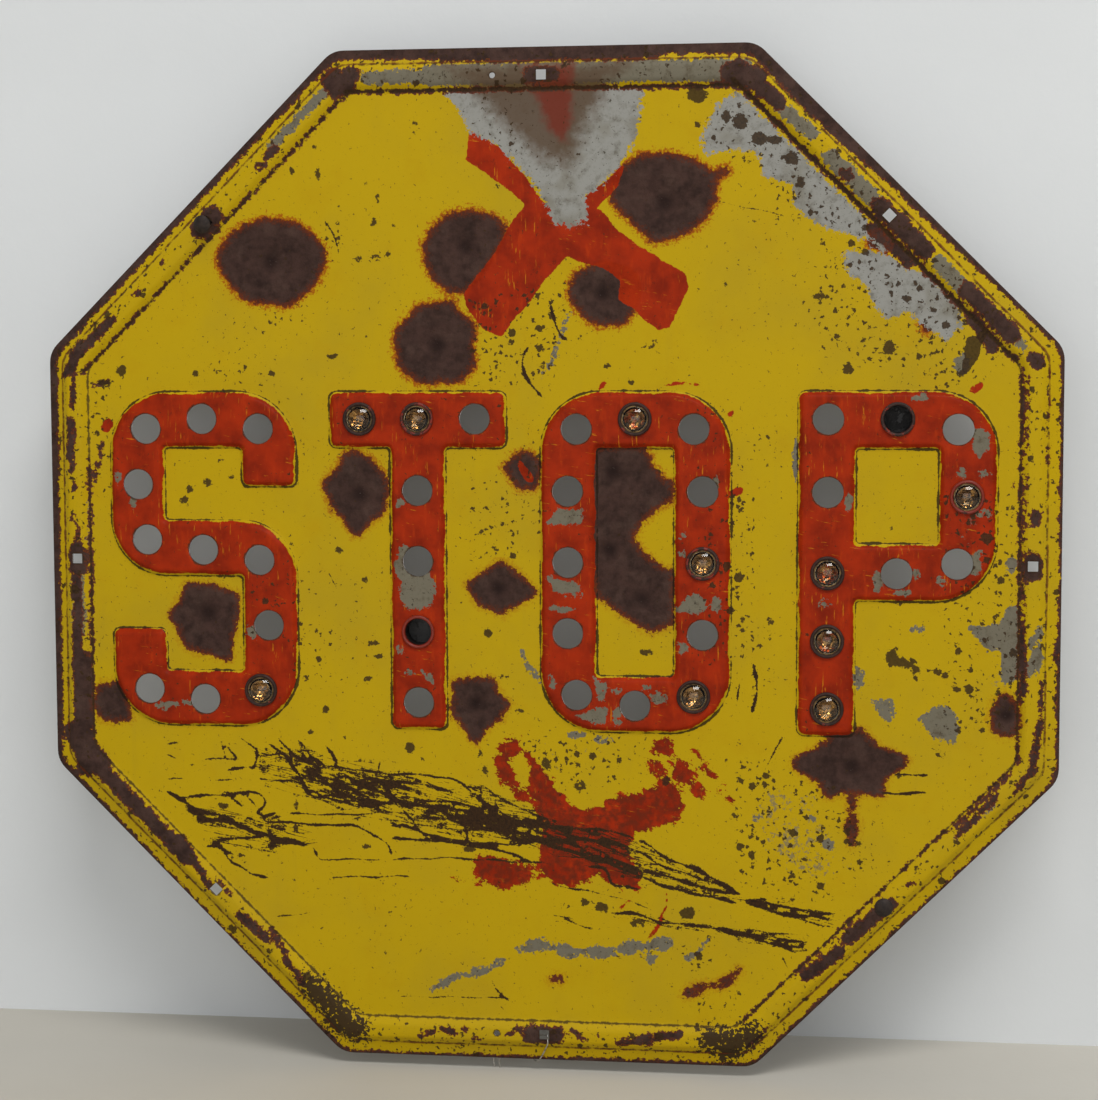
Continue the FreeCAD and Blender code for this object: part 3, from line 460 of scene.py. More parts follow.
BORDER_OLIVE = (
    ((-38, -44, 292, 288, 2.6), (-52, -60, 291, 287, 4), (-28, -64, 277, 275, 5)),
    ((92, 66, 288, 290, 4), (48, 12, 288, 288, 5), (-40, -60, 289, 288, 4.6), (-98, -108, 289, 289, 2.6)),
    ((66, -118, 289, 289, 6.5), (-90, -114, 288, 287, 6), (104, 64, 288, 288, 4)),
    ((-60, -108, 291, 290, 2.8),), ((44, 12, 288, 288, 4.2), (-8, -40, 281, 280, 1)), (), (),
    ((90, 62, 287, 287, 2),),
)
# Painted shade in the inner crease of the upper sides, where the rib's inner slope faces down.
CREASE = (
    (), ((122, -112, 280.3, 280.3, 1.2),),
    ((118, -40, 280.2, 280.2, 1.1), (-40, -118, 280.2, 280.2, 0.7)), ((118, -110, 280.4, 280.4, 0.7),),
)
# Fine pitting near some corners, given as the rust is.
PITTING = (
    (), (), (), (), (), ((122, 84, 288, 288, 6),), ((122, 102, 288, 288, 6), (-116, -130, 288, 286, 6)),
    ((-112, -130, 289, 287, 6),),
)

# How wide the bare brown edge of the lip is: three places on each side, from the right one
# anticlockwise, each read clockwise end first.
BARE_EDGE = (
    3.2, 2.2, 2.8, 3.6, 5, 9, 6.5, 10, 7, 5.2, 5, 5.6, 6, 5.2, 5.4, 3.2, 1.8, 3, 2.4, 2.8, 2.8, 2.8, 2.4,
    2.2,
)


# Where countless fine strokes cross, and where they run together.
SCRIBBLE = (
    [(-182, -114), (-150, -112), (-100, -124), (-40, -134), (5, -152), (60, -166), (120, -197),
     (178, -206), (174, -219), (120, -206), (60, -197), (0, -178), (-50, -170), (-100, -162),
     (-140, -152), (-178, -138)],
    [(-228, -146), (-150, -160), (-138, -176), (-176, -184), (-200, -180), (-226, -160)],
    [(46, -209), (100, -216), (164, -223), (158, -235), (100, -225), (50, -219)],
)
DENSE = (
    [(-153, -136), (-150, -127), (-140, -124), (-118, -127), (-100, -131), (-88, -139), (-66, -148),
     (-50, -154), (-58, -158), (-80, -153), (-94, -154), (-106, -150), (-128, -149), (-146, -147)],
)

# Single scratches, by half width and places.
SCRATCHES = (
    (0.8, (-235, -115), (-224, -112)), (0.7, (-235, -121), (-228, -123)),
    (0.4, (-235, -136), (-223, -136)), (0.6, (-211, -123), (-188, -123)),
    (0.6, (-200, -111), (-197, -121)), (0.7, (-197, -113), (-189, -124)),
    (0.4, (-189, -108), (-178, -117)), (0.8, (-197, -130), (-177, -127)),
    (0.5, (-205, -136), (-192, -136)), (1.2, (-178, -115), (-177, -124), (-181, -130)),
    (0.7, (-171, -112), (-158, -123), (-153, -131)), (0.8, (-165, -109), (-152, -121), (-140, -125)),
    (0.8, (-152, -109), (-148, -120), (-139, -129)), (1, (-135, -112), (-130, -118), (-127, -126)),
    (0.8, (-177, -121), (-163, -119), (-139, -126), (-122, -127), (-100, -130), (-81, -130), (-56, -132),
     (-47, -137), (-39, -147)), (0.7, (-100, -121), (-102, -130)), (0.4, (-100, -121), (-88, -124)),
    (0.7, (-39, -135), (-38, -147), (-26, -155)), (0.7, (-38, -136), (-19, -148), (5, -157)),
    (0.7, (-177, -135), (-151, -136), (-146, -145)),
    (0.9, (-91, -145), (-52, -156), (-19, -163), (5, -172), (30, -178), (58, -188)),
    (0.8, (-81, -149), (-62, -149), (-31, -157), (5, -162), (36, -161), (56, -167)),
    (0.7, (-88, -151), (-80, -160), (-72, -169)), (0.5, (-81, -156), (-40, -159), (5, -160)),
    (0.7, (-93, -169), (-69, -171), (-36, -172), (-5, -183)), (0.5, (-69, -163), (-24, -164)),
    (0.5, (-31, -144), (-25, -158), (-19, -172)), (0.8, (-20, -161), (-15, -174)),
    (0.8, (-60, -152), (-30, -150), (0, -166)), (0.7, (-10, -169), (26, -167), (51, -172)),
    (0.6, (-50, -160), (-20, -168), (14, -170), (44, -182)), (0.4, (-224, -147), (-177, -143)),
    (0.6, (-158, -156), (-120, -156), (-103, -154), (-91, -154)),
    (0.8, (-175, -161), (-127, -163), (-117, -161), (-108, -167), (-94, -174), (-94, -181)),
    (0.5, (-140, -184), (-98, -183)), (0.6, (-94, -183), (-57, -181), (5, -183)),
    (0.8, (-143, -177), (-140, -184)), (0.5, (-134, -195), (-82, -193)),
    (0.4, (-168, -221), (-144, -217)), (0.4, (-177, -178), (-138, -173)),
    (0.4, (-211, -174), (-183, -171)),
    (0.9, (-212, -178), (-202, -177), (-195, -187), (-187, -190), (-183, -195), (-171, -196)),
    (1.2, (-235, -143), (-220, -153), (-208, -157), (-196, -159), (-192, -164), (-180, -168),
     (-165, -171), (-147, -175)), (1.2, (-217, -161), (-192, -163)), (0.7, (-199, -142), (-186, -154)),
    (0.8, (-199, -144), (-178, -143), (-171, -149), (-180, -157), (-171, -159), (-165, -155)),
    (1, (56, -168), (62, -169), (75, -179), (91, -184), (103, -190), (120, -199)),
    (0.8, (56, -174), (74, -184), (86, -187), (105, -193), (119, -198)),
    (1.1, (59, -186), (79, -190), (98, -196), (119, -199)),
    (1, (62, -190), (74, -196), (86, -198), (117, -204)), (0.6, (86, -181), (93, -183), (103, -191)),
    (0.8, (120, -202), (138, -204), (158, -208), (177, -209)),
    (0.8, (119, -203), (143, -209), (158, -211), (174, -213)),
    (0.7, (124, -205), (146, -211), (170, -217)),
    (1, (40, -212), (55, -212), (69, -217), (86, -218), (105, -220), (131, -224), (160, -227)),
    (0.7, (93, -218), (114, -223), (134, -227), (153, -234)), (0.8, (131, -220), (134, -224)),
    (0.8, (134, -228), (158, -230)), (0.5, (143, -234), (148, -244)), (0.4, (120, -220), (161, -223)),
    (0.5, (5, -214), (19, -217)), (0.6, (11, -217), (31, -223)), (0.4, (2, -195), (47, -203), (67, -210)),
    (1, (26, -184), (38, -185), (40, -195), (50, -196)), (1.2, (47, -196), (60, -197)),
    (0.8, (207, -125), (230, -124)), (0.9, (201, -136), (230, -135)), (0.4, (144, -102), (132, -124)),
    (1, (5, 157), (6, 146), (10, 135), (16, 132)), (1, (-8, 129), (-13, 122), (-9, 108), (0, 98)),
    (0.5, (-132, -6), (-130, -12), (-126, -18)), (0.6, (-132, 206), (-126, 196), (-123, 184)),
    (0.3, (102, 213), (122, 209), (144, 204)), (0.4, (-90, -268), (-40, -267), (-20, -267)),
    (0.4, (-20, -270), (-31, -262), (-33, -254)), (1, (126, -58), (128, -75), (125, -90)),
    (0.5, (118, -70), (116, -84)),
)


# The crossing bundle below the letters, from its dense head to where it thins out.
SCRATCHES += (
    (1.1, (-162, -116), (-155, -127), (-148, -137), (-144, -146)),
    (0.9, (-150, -111), (-142, -122), (-135, -125)),
    (1.3, (-147, -134), (-130, -138), (-112, -137), (-96, -143), (-84, -150)),
    (1.6, (-150, -128), (-138, -133), (-126, -143), (-112, -147), (-92, -148)),
    (1.8, (-124, -131), (-112, -136), (-102, -141), (-90, -146)),
    (1.2, (-118, -142), (-100, -134), (-84, -139), (-74, -141)),
    (1, (-147, -141), (-132, -146), (-116, -150), (-99, -150)),
    (1.3, (-104, -131), (-96, -139), (-91, -150)),
    (0.9, (-96, -133), (-80, -136), (-64, -138), (-52, -142)),
    (0.8, (-88, -142), (-70, -147), (-56, -146), (-40, -150)),
    (1.1, (-90, -149), (-55, -151), (-30, -155), (-5, -158), (20, -162)),
    (0.9, (-85, -157), (-60, -157), (-40, -162), (-15, -165), (6, -168)),
    (0.9, (-90, -161), (-70, -167), (-50, -171), (-22, -172), (-5, -170)),
    (0.7, (-95, -170), (-60, -171), (-40, -174), (-20, -177), (-10, -182)),
    (0.9, (-50, -153), (-32, -160), (-16, -160), (2, -165), (26, -174)),
    (0.8, (-44, -141), (-30, -150), (-18, -158), (-4, -163)),
    (0.8, (-55, -150), (-47, -163), (-47, -174)), (0.7, (-25, -153), (-20, -164), (-17, -173)),
    (0.8, (-12, -154), (8, -163), (34, -170), (52, -178)),
    (0.7, (10, -160), (28, -163), (46, -170), (66, -178)),
    (0.8, (0, -171), (22, -178), (44, -184), (70, -194), (92, -199)),
    (0.8, (24, -170), (48, -182), (72, -188), (96, -195)),
    (1.4, (-223, -154), (-212, -160), (-196, -161), (-182, -167), (-164, -173), (-146, -175)),
    (1.2, (-172, -165), (-166, -172), (-172, -178), (-160, -172)),
    (0.7, (-208, -176), (-190, -172), (-172, -171)), (1, (-208, -171), (-200, -180), (-192, -183)),
    (0.8, (-226, -147), (-205, -146), (-186, -144), (-178, -152)),
)


# ---------------------------------------------------------------- the shape of the pressing


def border_table():
    """The border's profile with its creases rounded: distances from the centre, and heights."""
    out = np.arange(BORDER[0][0], BORDER[-1][0], 0.1)
    heights = np.interp(out, *zip(*BORDER))
    for _ in range(2):
        heights = np.convolve(np.pad(heights, 8, "edge"), np.full(17, 1 / 17), "valid")
    return out, heights


def relief(points, letters, holes, draw):
    """Height of the face above the flat field."""
    out, heights = border_table()
    height = np.interp(apothem_of(points), out, heights)
    ramp = np.clip((0.5 - letters) / (SLOPE + 1.0), 0, 1)
    height += RAISE * ramp * ramp * (3 - 2 * ramp)
    flat = np.clip(letters / 12, 0, 1) * np.clip((APOTHEM - 28 - apothem_of(points)) / 15, 0, 1)
    for across, up, radius, depth in DENTS:
        away = np.hypot(points[:, 0] - across, points[:, 1] - up)
        height -= depth * np.exp(-((away / radius) ** 2)) - 0.12 * np.exp(-(((away - 2 * radius) / 5) ** 2))
    for _ in range(14):
        way, phase = draw.uniform(0, math.pi), draw.uniform(0, 6.3)
        length = draw.uniform(70, 220)
        wave = points @ np.array([math.cos(way), math.sin(way)]) / length
        height += flat * 0.07 * np.sin(2 * math.pi * wave + phase)
    # The punched edges are drawn in a little.
    return height - 0.22 * np.exp(-np.maximum(holes, 0) / 0.55)


def hole_distance(points, openings):
    """Distance from the nearest opening of the panel."""
    nearest = np.full(len(points), 1e9)
    for middle, size, corners in openings:
        reach = np.hypot(*(points - middle).T)
        if corners is None:
            nearest = np.minimum(nearest, reach - size)
        else:
            nearest = np.minimum(nearest, reach - size * 0.8)
    return nearest


def in_order(corners):
    """The corners of a square hole, sorted round its middle."""
    aside = corners - corners.mean(0)
    return corners[np.argsort(np.arctan2(aside[:, 1], aside[:, 0]))]


def nearest_of(points, regions, strokes=(), spots=(), draw=None):
    """Distance from the nearest of some spots, regions and strokes."""
    away = [spot_distance(points, spot, draw) for spot in spots]
    away += [region_distance(points, [region]) for region in regions]
    away += [stroke_distance(points, tapered(*stroke)) for stroke in strokes]
    return np.minimum.reduce(away)


def wear_fields(points, letters, scratches):
    """Every wear layer as a signed distance in millimetres, negative inside."""
    draw = np.random.default_rng(7)
    rust = nearest_of(points, RUST_REGIONS, RUST_STROKES, RUST_SPOTS, draw)
    olive = nearest_of(points, (), OLIVE_STROKES, OLIVE_SPOTS, draw)
    red = np.minimum(nearest_of(points, RED_REGIONS, RED_STROKES), letters + 0.5)
    thirds = np.degrees(np.arctan2(points[:, 1], points[:, 0])) / 15 + 1
    bare = np.interp(thirds % 24, range(25), BARE_EDGE + BARE_EDGE[:1]) - 0.4
    edge = APOTHEM - bare - apothem_of(points)
    return {
        "rust": rust,
        "red": red,
        "smear": nearest_of(points, SMEAR_REGIONS, SMEAR_STROKES),
        "letter": letters,
        "grey": nearest_of(points, GREY_REGIONS),
        "olive": np.minimum(olive, border_distance(points, BORDER_OLIVE)),
        "stain": region_distance(points, STAINS),
        "blush": region_distance(points, RED_STAINS),
        "border": np.minimum(border_distance(points, BORDER_RUST), edge),
        "scratch": np.minimum.reduce([stroke_distance(points, line) for line in scratches]),
        "dense": nearest_of(points, DENSE),
        "scribble": nearest_of(points, SCRIBBLE),
        "chips": nearest_of(points, (), (), CHIPS, draw),
        "speckle": nearest_of(points, SPECKLE_REGIONS),
        "lichen": nearest_of(points, LICHEN_REGIONS),
        "pitting": border_distance(points, PITTING),
        "crease": border_distance(points, CREASE),
        "dent": np.minimum.reduce([np.hypot(*(points - dent[:2]).T) / dent[2] for dent in DENTS]),
    }


def tapered(width, *places):
    """A slightly wavering stroke, thin at both ends, as a place and a half width every 1.5 mm."""
    places = np.array(places, float)
    reach = np.r_[0, np.cumsum(np.hypot(*np.diff(places, axis=0).T))]
    along = np.linspace(0, reach[-1], max(3, math.ceil(reach[-1] / 1.5)))
    window = min(7, len(along) // 2 * 2 - 1)
    phase = places[0].sum()
    run = []
    for axis, beat in ((0, 6.1), (1, 4.3)):
        path = np.pad(np.interp(along, reach, places[:, axis]), window // 2, "edge")
        smooth = np.convolve(path, np.full(window, 1 / window), "valid")
        run.append(smooth + 0.35 * np.sin(along / beat + phase))
    wide = width * np.minimum(1, 0.35 + np.minimum(along, reach[-1] - along) / 5)
    return list(zip(*run, wide * (1 + 0.35 * np.sin(along / 3.1 + phase))))


def border_distance(points, sides):
    """Distance from runs of wear along the border."""
    nearest = np.full(len(points), REACH)
    for side, runs in enumerate(sides):
        for first, last, apothem, last_apothem, width in runs:
            start, end = side_place(side, first, apothem), side_place(side, last - 0.5, last_apothem)
            nearest = np.minimum(nearest, stroke_distance(points, [start + (width,), end + (width,)]))
    return nearest


def lattice(low, high, pitch):
    """Points of a triangular grid over a square."""
    rows = np.arange(low, high, pitch * math.sqrt(0.75))
    columns = np.arange(low, high, pitch)
    return np.array([(x + (k % 2) * pitch / 2, row) for k, row in enumerate(rows) for x in columns])


def gaps(others, points):
    """How far each point is from the nearest of the others."""
    tree = KDTree(len(others))
    for index, spot in enumerate(others):
        tree.insert((*spot, 0), index)
    tree.balance()
    return np.array([tree.find((*spot, 0))[2] for spot in points])


def wear_nearby(points, outlines, scratches):
    """Distance from the edges of the wear and from the walls of the dents, which need small triangles."""
    letters = region_distance(points, [rounded_loop(corners) for corners in outlines])
    fields = wear_fields(points, letters, scratches)
    near = np.minimum.reduce([np.abs(fields[name]) for name in ("rust", "grey", "olive", "dense", "chips")])
    near = np.minimum(near, np.maximum(fields["scratch"], 0) - 0.6)
    near = np.minimum(near, np.where(letters > 3, np.abs(fields["red"]), 9))
    for across, up, radius, _ in DENTS:
        away = np.hypot(points[:, 0] - across, points[:, 1] - up)
        near = np.minimum(near, np.abs(away - radius * 0.5) - radius * 0.5 + 1)
    return near


def panel_plan(outlines, openings, scratches):
    """The panel's triangles in its own plane: its points, triangles, and the rings of its rim."""
    rings = [rounded_loop(octagon(APOTHEM, OUTLINE_RADIUS), 0, 2.8)]
    for middle, size, corners in openings:
        if corners is None:
            rings.append(circle(middle, size, 36 if size > 5 else 16))
        else:
            square = [(x, z, 0.3) for x, z in in_order(corners)]
            rings.append(rounded_loop(square, 0, 1.5))
    guides = []
    for apothem in BORDER_RINGS:
        radius = max(OUTLINE_RADIUS - (APOTHEM - apothem), 2.0)
        guides.append(rounded_loop(octagon(apothem, radius), 0, 3.4))
    for corners in outlines:
        guides += [rounded_loop(corners, inset, 2.3) for inset in LETTER_RINGS]
    for middle, size, corners in openings:
        if corners is None and size > 5:
            guides += [circle(middle, size + more, 36) for more in HOLE_RINGS]
    guides += [np.array(line)[:, :2] for line in scratches]
    edges, first = [], 0
    for ring in rings:
        count = len(ring)
        edges += [(first + k, first + (k + 1) % count) for k in range(count)]
        first += count
    fixed, kept = np.concatenate(rings), np.concatenate(guides)
    kept = kept[(apothem_of(kept) < APOTHEM - 0.5) & (hole_distance(kept, openings) > 0.35)]
    kept = kept[gaps(fixed, kept) > 0.4]
    worn = np.asfortranarray(lattice(-APOTHEM + 0.7, APOTHEM, WORN_PITCH))
    worn = worn[wear_nearby(worn, outlines, scratches) < 1.8]
    fill = np.concatenate([lattice(-APOTHEM, APOTHEM, PLAIN_PITCH), worn])
    fill = fill[(apothem_of(fill) < APOTHEM - 1.5) & (hole_distance(fill, openings) > 1.2)]
    fixed = np.concatenate([fixed, kept])
    points = np.concatenate([fixed, fill[gaps(fixed, fill) > LEAST_GAP]])
    verts, _, faces, *_ = delaunay_2d_cdt([Vector(spot) for spot in points], edges, [], 0, 1e-5)
    points, triangles = np.array([tuple(vert) for vert in verts]), np.array(faces)
    middles = np.asfortranarray(points[triangles].mean(1))
    return points, triangles[region_distance(middles, rings[1:]) > 0]


def build_panel():
    outlines = letter_outlines()
    openings = cad_openings()
    draw = np.random.default_rng(24)
    scratches = [tapered(*stroke) for stroke in SCRATCHES]
    points, triangles = panel_plan(outlines, openings, scratches)
    used, triangles = np.unique(triangles, return_inverse=True)
    points, triangles = np.asfortranarray(points[used]), triangles.reshape(-1, 3)
    letters = region_distance(points, [rounded_loop(corners, 0, 1.2) for corners in outlines])
    holes = hole_distance(points, openings)
    height = relief(points, letters, holes, draw)
    fields = wear_fields(points, letters, scratches)
    fields["hole"] = holes
    fields["apothem"] = apothem_of(points)
    front = np.c_[points[:, 0], -SHEET - height, points[:, 1]] * MM
    back = np.c_[points[:, 0], -height, points[:, 1]] * MM
    count = len(points)
    ways = {(a, b) for face in triangles.tolist() for a, b in zip(face, face[1:] + face[:1])}
    rim = sorted((a, b) for a, b in ways if (b, a) not in ways)
    walls = [(b, a, a + count, b + count) for a, b in rim]
    shape = bpy.data.meshes.new("pressed_panel")
    polygons = triangles.tolist() + (triangles[:, ::-1] + count).tolist() + walls
    shape.from_pydata(np.concatenate([front, back]).tolist(), [], polygons)
    kinds = np.repeat([0, 1, 2], [len(triangles), len(triangles), len(walls)])
    shape.polygons.foreach_set("material_index", kinds.astype(np.int32))
    shape.polygons.foreach_set("use_smooth", np.ones(len(polygons), bool))
    for name, values in fields.items():
        layer = shape.attributes.new(name, "FLOAT", "POINT")
        layer.data.foreach_set("value", np.concatenate([values, values]).astype(np.float32))
    sharp = {frozenset(pair) for a, b in rim for pair in ((a, b), (a + count, b + count))}
    marks = shape.attributes.new("sharp_edge", "BOOLEAN", "EDGE")
    marks.data.foreach_set("value", [frozenset(edge.vertices) in sharp for edge in shape.edges])
    panel = bpy.data.objects.new("pressed_panel", shape)
    bpy.context.scene.collection.objects.link(panel)
    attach(panel, "sign")
    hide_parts("sign_panel")
    return panel


# ---------------------------------------------------------------- materials


def linear(red, green, blue):
    """A colour given as it looks on a screen, 0 to 255, as the renderer counts light."""
    share = [value / 255 for value in (red, green, blue)]
    return tuple(v / 12.92 if v <= 0.04045 else ((v + 0.055) / 1.055) ** 2.4 for v in share) + (1.0,)


class Finish:
    """A material and short calls for its nodes. Any input may be a number, a colour or a socket."""

    def __init__(self, name, flat=False):
        """With flat, every pattern lies in the plane of the sign and goes straight through it."""
        self.material = bpy.data.materials.new(name)
        self.material.use_nodes = True
        self.tree = self.material.node_tree
        self.tree.nodes.clear()
        self.output = self.tree.nodes.new("ShaderNodeOutputMaterial")
        self.dimensions = "2D" if flat else "3D"
        place = self.tree.nodes.new("ShaderNodeTexCoord").outputs["Object"]
        if flat:
            parts = self.node("SeparateXYZ", {0: place}).outputs
            place = self.node("CombineXYZ", {0: parts[0], 1: parts[2]}).outputs[0]
        self.mm = self.vector("SCALE", place, scale=1 / MM)

    def node(self, kind, inputs, **settings):
        node = self.tree.nodes.new("ShaderNode" + kind)
        for name, value in settings.items():
            setattr(node, name, value)
        for name, value in inputs.items():
            if isinstance(value, bpy.types.NodeSocket):
                self.tree.links.new(value, node.inputs[name])
            elif value is not None:
                node.inputs[name].default_value = value
        return node

    def math(self, operation, a, b=None, clamp=False):
        return self.node("Math", {0: a, 1: b}, operation=operation, use_clamp=clamp).outputs[0]

    def times(self, a, b):
        return self.math("MULTIPLY", a, b)

    def minus(self, a, b):
        return self.math("SUBTRACT", a, b)

    def size(self, a):
        """The number without its sign."""
        return self.math("ABSOLUTE", a)

    def least(self, *values):
        return functools.reduce(lambda a, b: self.math("MINIMUM", a, b), values)

    def most(self, *values):
        return functools.reduce(lambda a, b: self.math("MAXIMUM", a, b), values)

    def vector(self, operation, a, b=None, scale=None):
        inputs = {0: a, 1: b, "Scale": scale}
        return self.node("VectorMath", inputs, operation=operation).outputs[0]

    def stretched(self, across, up, angle=0.0):
        """Flat coordinates turned and then stretched: larger numbers, finer grain."""
        turn = {"Vector": self.mm, "Rotation": (0, 0, math.radians(angle))}
        return self.vector("MULTIPLY", self.node("Mapping", turn).outputs[0], (across, up, 1))

    def noise(self, size, detail=2.0, roughness=0.5, place=None, distortion=0.0):
        """Noise round zero, from about -1 to 1, with blotches of about that many millimetres."""
        inputs = {
            "Vector": place or self.mm, "Scale": 1 / size, "Detail": detail, "Roughness": roughness,
            "Distortion": distortion,
        }
        value = self.node("TexNoise", inputs, noise_dimensions=self.dimensions).outputs[0]
        return self.times(self.minus(value, 0.5), 3.2)

    def cells(self, size, place=None, feature="F1", output="Distance", randomness=1.0):
        """Voronoi cells of that many millimetres: the distance in millimetres, or a random colour."""
        inputs = {"Vector": place or self.mm, "Scale": 1 / size, "Randomness": randomness}
        settings = {"feature": feature, "voronoi_dimensions": self.dimensions}
        value = self.node("TexVoronoi", inputs, **settings).outputs[output]
        return self.times(value, size) if output == "Distance" else value

    def field(self, name):
        return self.node("Attribute", {}, attribute_name=name).outputs["Fac"]

    def total(self, *terms):
        """The sum of sockets and of (socket, weight) pairs."""
        result = None
        for term in terms:
            if isinstance(term, tuple):
                term = self.times(*term)
            result = term if result is None else self.math("ADD", result, term)
        return result

    def step(self, value, start, end):
        """0 at the start value, 1 at the end value, smooth between; start may be the larger."""
        inputs = {"Value": value, "From Min": start, "From Max": end}
        return self.node("MapRange", inputs, interpolation_type="SMOOTHSTEP").outputs[0]

    def inside(self, distance, soft=0.35):
        """1 where a distance is negative."""
        return self.step(distance, soft, -soft)

    def blend(self, share, a, b):
        """From a to b as the share goes from 0 to 1; colours or numbers."""
        kind = "RGBA" if isinstance(b, tuple) or isinstance(a, tuple) or self.is_colour(a) else "FLOAT"
        node = self.tree.nodes.new("ShaderNodeMix")
        node.data_type = kind
        suffix = {"RGBA": "_Color", "FLOAT": "_Float"}[kind]
        sockets = {socket.identifier: socket for socket in node.inputs}
        for name, value in (("Factor_Float", share), ("A" + suffix, a), ("B" + suffix, b)):
            if isinstance(value, bpy.types.NodeSocket):
                self.tree.links.new(value, sockets[name])
            else:
                sockets[name].default_value = value
        return [socket for socket in node.outputs if socket.identifier == "Result" + suffix][0]

    @staticmethod
    def is_colour(value):
        return isinstance(value, bpy.types.NodeSocket) and value.type == "RGBA"

    def bump(self, height, millimetres=1.0):
        inputs = {"Height": height, "Distance": millimetres * MM, "Strength": 1.0}
        return self.node("Bump", inputs).outputs[0]

    def surface(self, **inputs):
        names = {name.replace("_", " "): value for name, value in inputs.items()}
        shader = self.node("BsdfPrincipled", names)
        self.tree.links.new(shader.outputs[0], self.output.inputs["Surface"])
        return self.material


YELLOW = linear(190, 158, 14)
YELLOW_DULL = linear(172, 145, 32)
YELLOW_DEEP = linear(184, 146, 10)
RED = linear(168, 46, 12)
RED_LIGHT = linear(188, 60, 12)
RED_DARK = linear(126, 32, 10)
SCRAPE = linear(200, 122, 20)
SMEAR = linear(108, 40, 20)
GREY = linear(150, 149, 143)
GREY_DARK = linear(104, 100, 90)
OLIVE = linear(116, 110, 94)
OLIVE_DARK = linear(84, 72, 54)
RUST = linear(72, 52, 46)
RUST_DARK = linear(48, 35, 31)
RUST_LIGHT = linear(86, 66, 58)
RUST_RED = linear(98, 46, 26)
RUST_RIM = linear(130, 56, 14)
ORANGE = linear(162, 86, 10)
STAIN = linear(92, 74, 58)
BLUSH = linear(116, 42, 28)
DIRT = linear(66, 48, 28)
DIRT_DARK = linear(42, 31, 22)
DIRT_WARM = linear(64, 44, 26)


def yellow_paint(f):
    """Cloudy yellow with faint runs, deeper spots and specks of dirt."""
    cloud = f.step(f.noise(90, 4, 0.6), -0.3, 1.0)
    paint = f.blend(f.times(cloud, 0.55), YELLOW, YELLOW_DULL)
    paint = f.blend(f.times(f.step(f.noise(30, 4, 0.65), 0.0, 1.2), 0.5), paint, YELLOW_DEEP)
    runs = f.noise(9, 3, 0.6, f.stretched(1, 0.12))
    paint = f.blend(f.times(f.step(runs, 0.3, 1.4), 0.3), paint, YELLOW_DULL)
    specks = f.times(f.step(f.total(f.grit, (f.big, 0.25)), 0.75, 1.05), 0.6)
    return f.blend(specks, paint, linear(112, 88, 26))


def red_paint(f):
    """Red, brushed thin in places and scraped to orange in fine upright and level lines."""
    paint = f.blend(f.step(f.big, -0.9, 1.1), RED, RED_DARK)
    brushed = f.noise(5, 4, 0.65, f.stretched(1, 0.25))
    paint = f.blend(f.times(f.step(brushed, 0.1, 1.1), 0.6), paint, RED_LIGHT)
    upright = f.step(f.noise(1.6, 3, 0.7, f.stretched(1, 0.1)), 0.45, 0.7)
    level = f.step(f.noise(1.6, 3, 0.7, f.stretched(0.12, 1, 10)), 0.5, 0.75)
    zone = f.noise(40, 2, 0.5)
    scrapes = f.most(f.times(upright, f.step(zone, 0.0, 0.35)),
                     f.times(level, f.step(zone, 0.0, -0.35)))
    paint = f.blend(f.times(scrapes, 0.85), paint, SCRAPE)
    grime = f.step(f.total(f.noise(12, 4, 0.75), (f.grit, 0.3)), 0.45, 1.0)
    return f.blend(f.times(grime, 0.6), paint, linear(76, 32, 18))


def bare_rust(f, edge):
    """Purple-brown rust with paler clouds, painted shade and painted glints in the dents, redder towards the
    edges of the blotches.
    """
    rust = f.blend(f.step(f.total(f.mid, (f.big, 0.8)), -1.0, 1.4), RUST, RUST_DARK)
    rust = f.blend(f.times(f.step(f.noise(14, 4, 0.65), -0.2, 1.0), 0.6), rust, RUST_LIGHT)
    # Painted shade darkens the middle of each dent, and small painted glints light it.
    dent = f.total(f.field("dent"), (f.mid, 0.2))
    rust = f.blend(f.times(f.step(dent, 0.9, 0.1), 0.75), rust, linear(34, 24, 22))
    glint = f.times(f.step(f.total(f.fine, (f.field("dent"), -0.5)), 0.45, 0.8), 0.45)
    rust = f.blend(glint, rust, linear(150, 132, 122))
    red = f.times(f.step(f.total(edge, (f.fine, 1.4)), -4.5, -0.5), f.step(f.field("rust"), 3.0, 1.0))
    rust = f.blend(f.times(red, 0.8), rust, RUST_RED)
    return f.blend(f.times(f.step(f.total(edge, (f.grit, 0.6)), -1.4, 0.0), 0.5), rust, RUST_RIM)


def primer(f, pale, dark):
    """Old primer, mottled, with many small dark specks."""
    grey = f.blend(f.step(f.noise(7, 4, 0.7), -0.1, 1.2), pale, dark)
    grey = f.blend(f.times(f.step(f.noise(2.4, 3, 0.7), 0.2, 1.1), 0.5), grey, dark)
    specks = f.step(f.total(f.noise(3.0, 3, 0.7), (f.big, 0.3)), 0.55, 0.7)
    return f.blend(f.times(specks, 0.85), grey, linear(64, 56, 46))


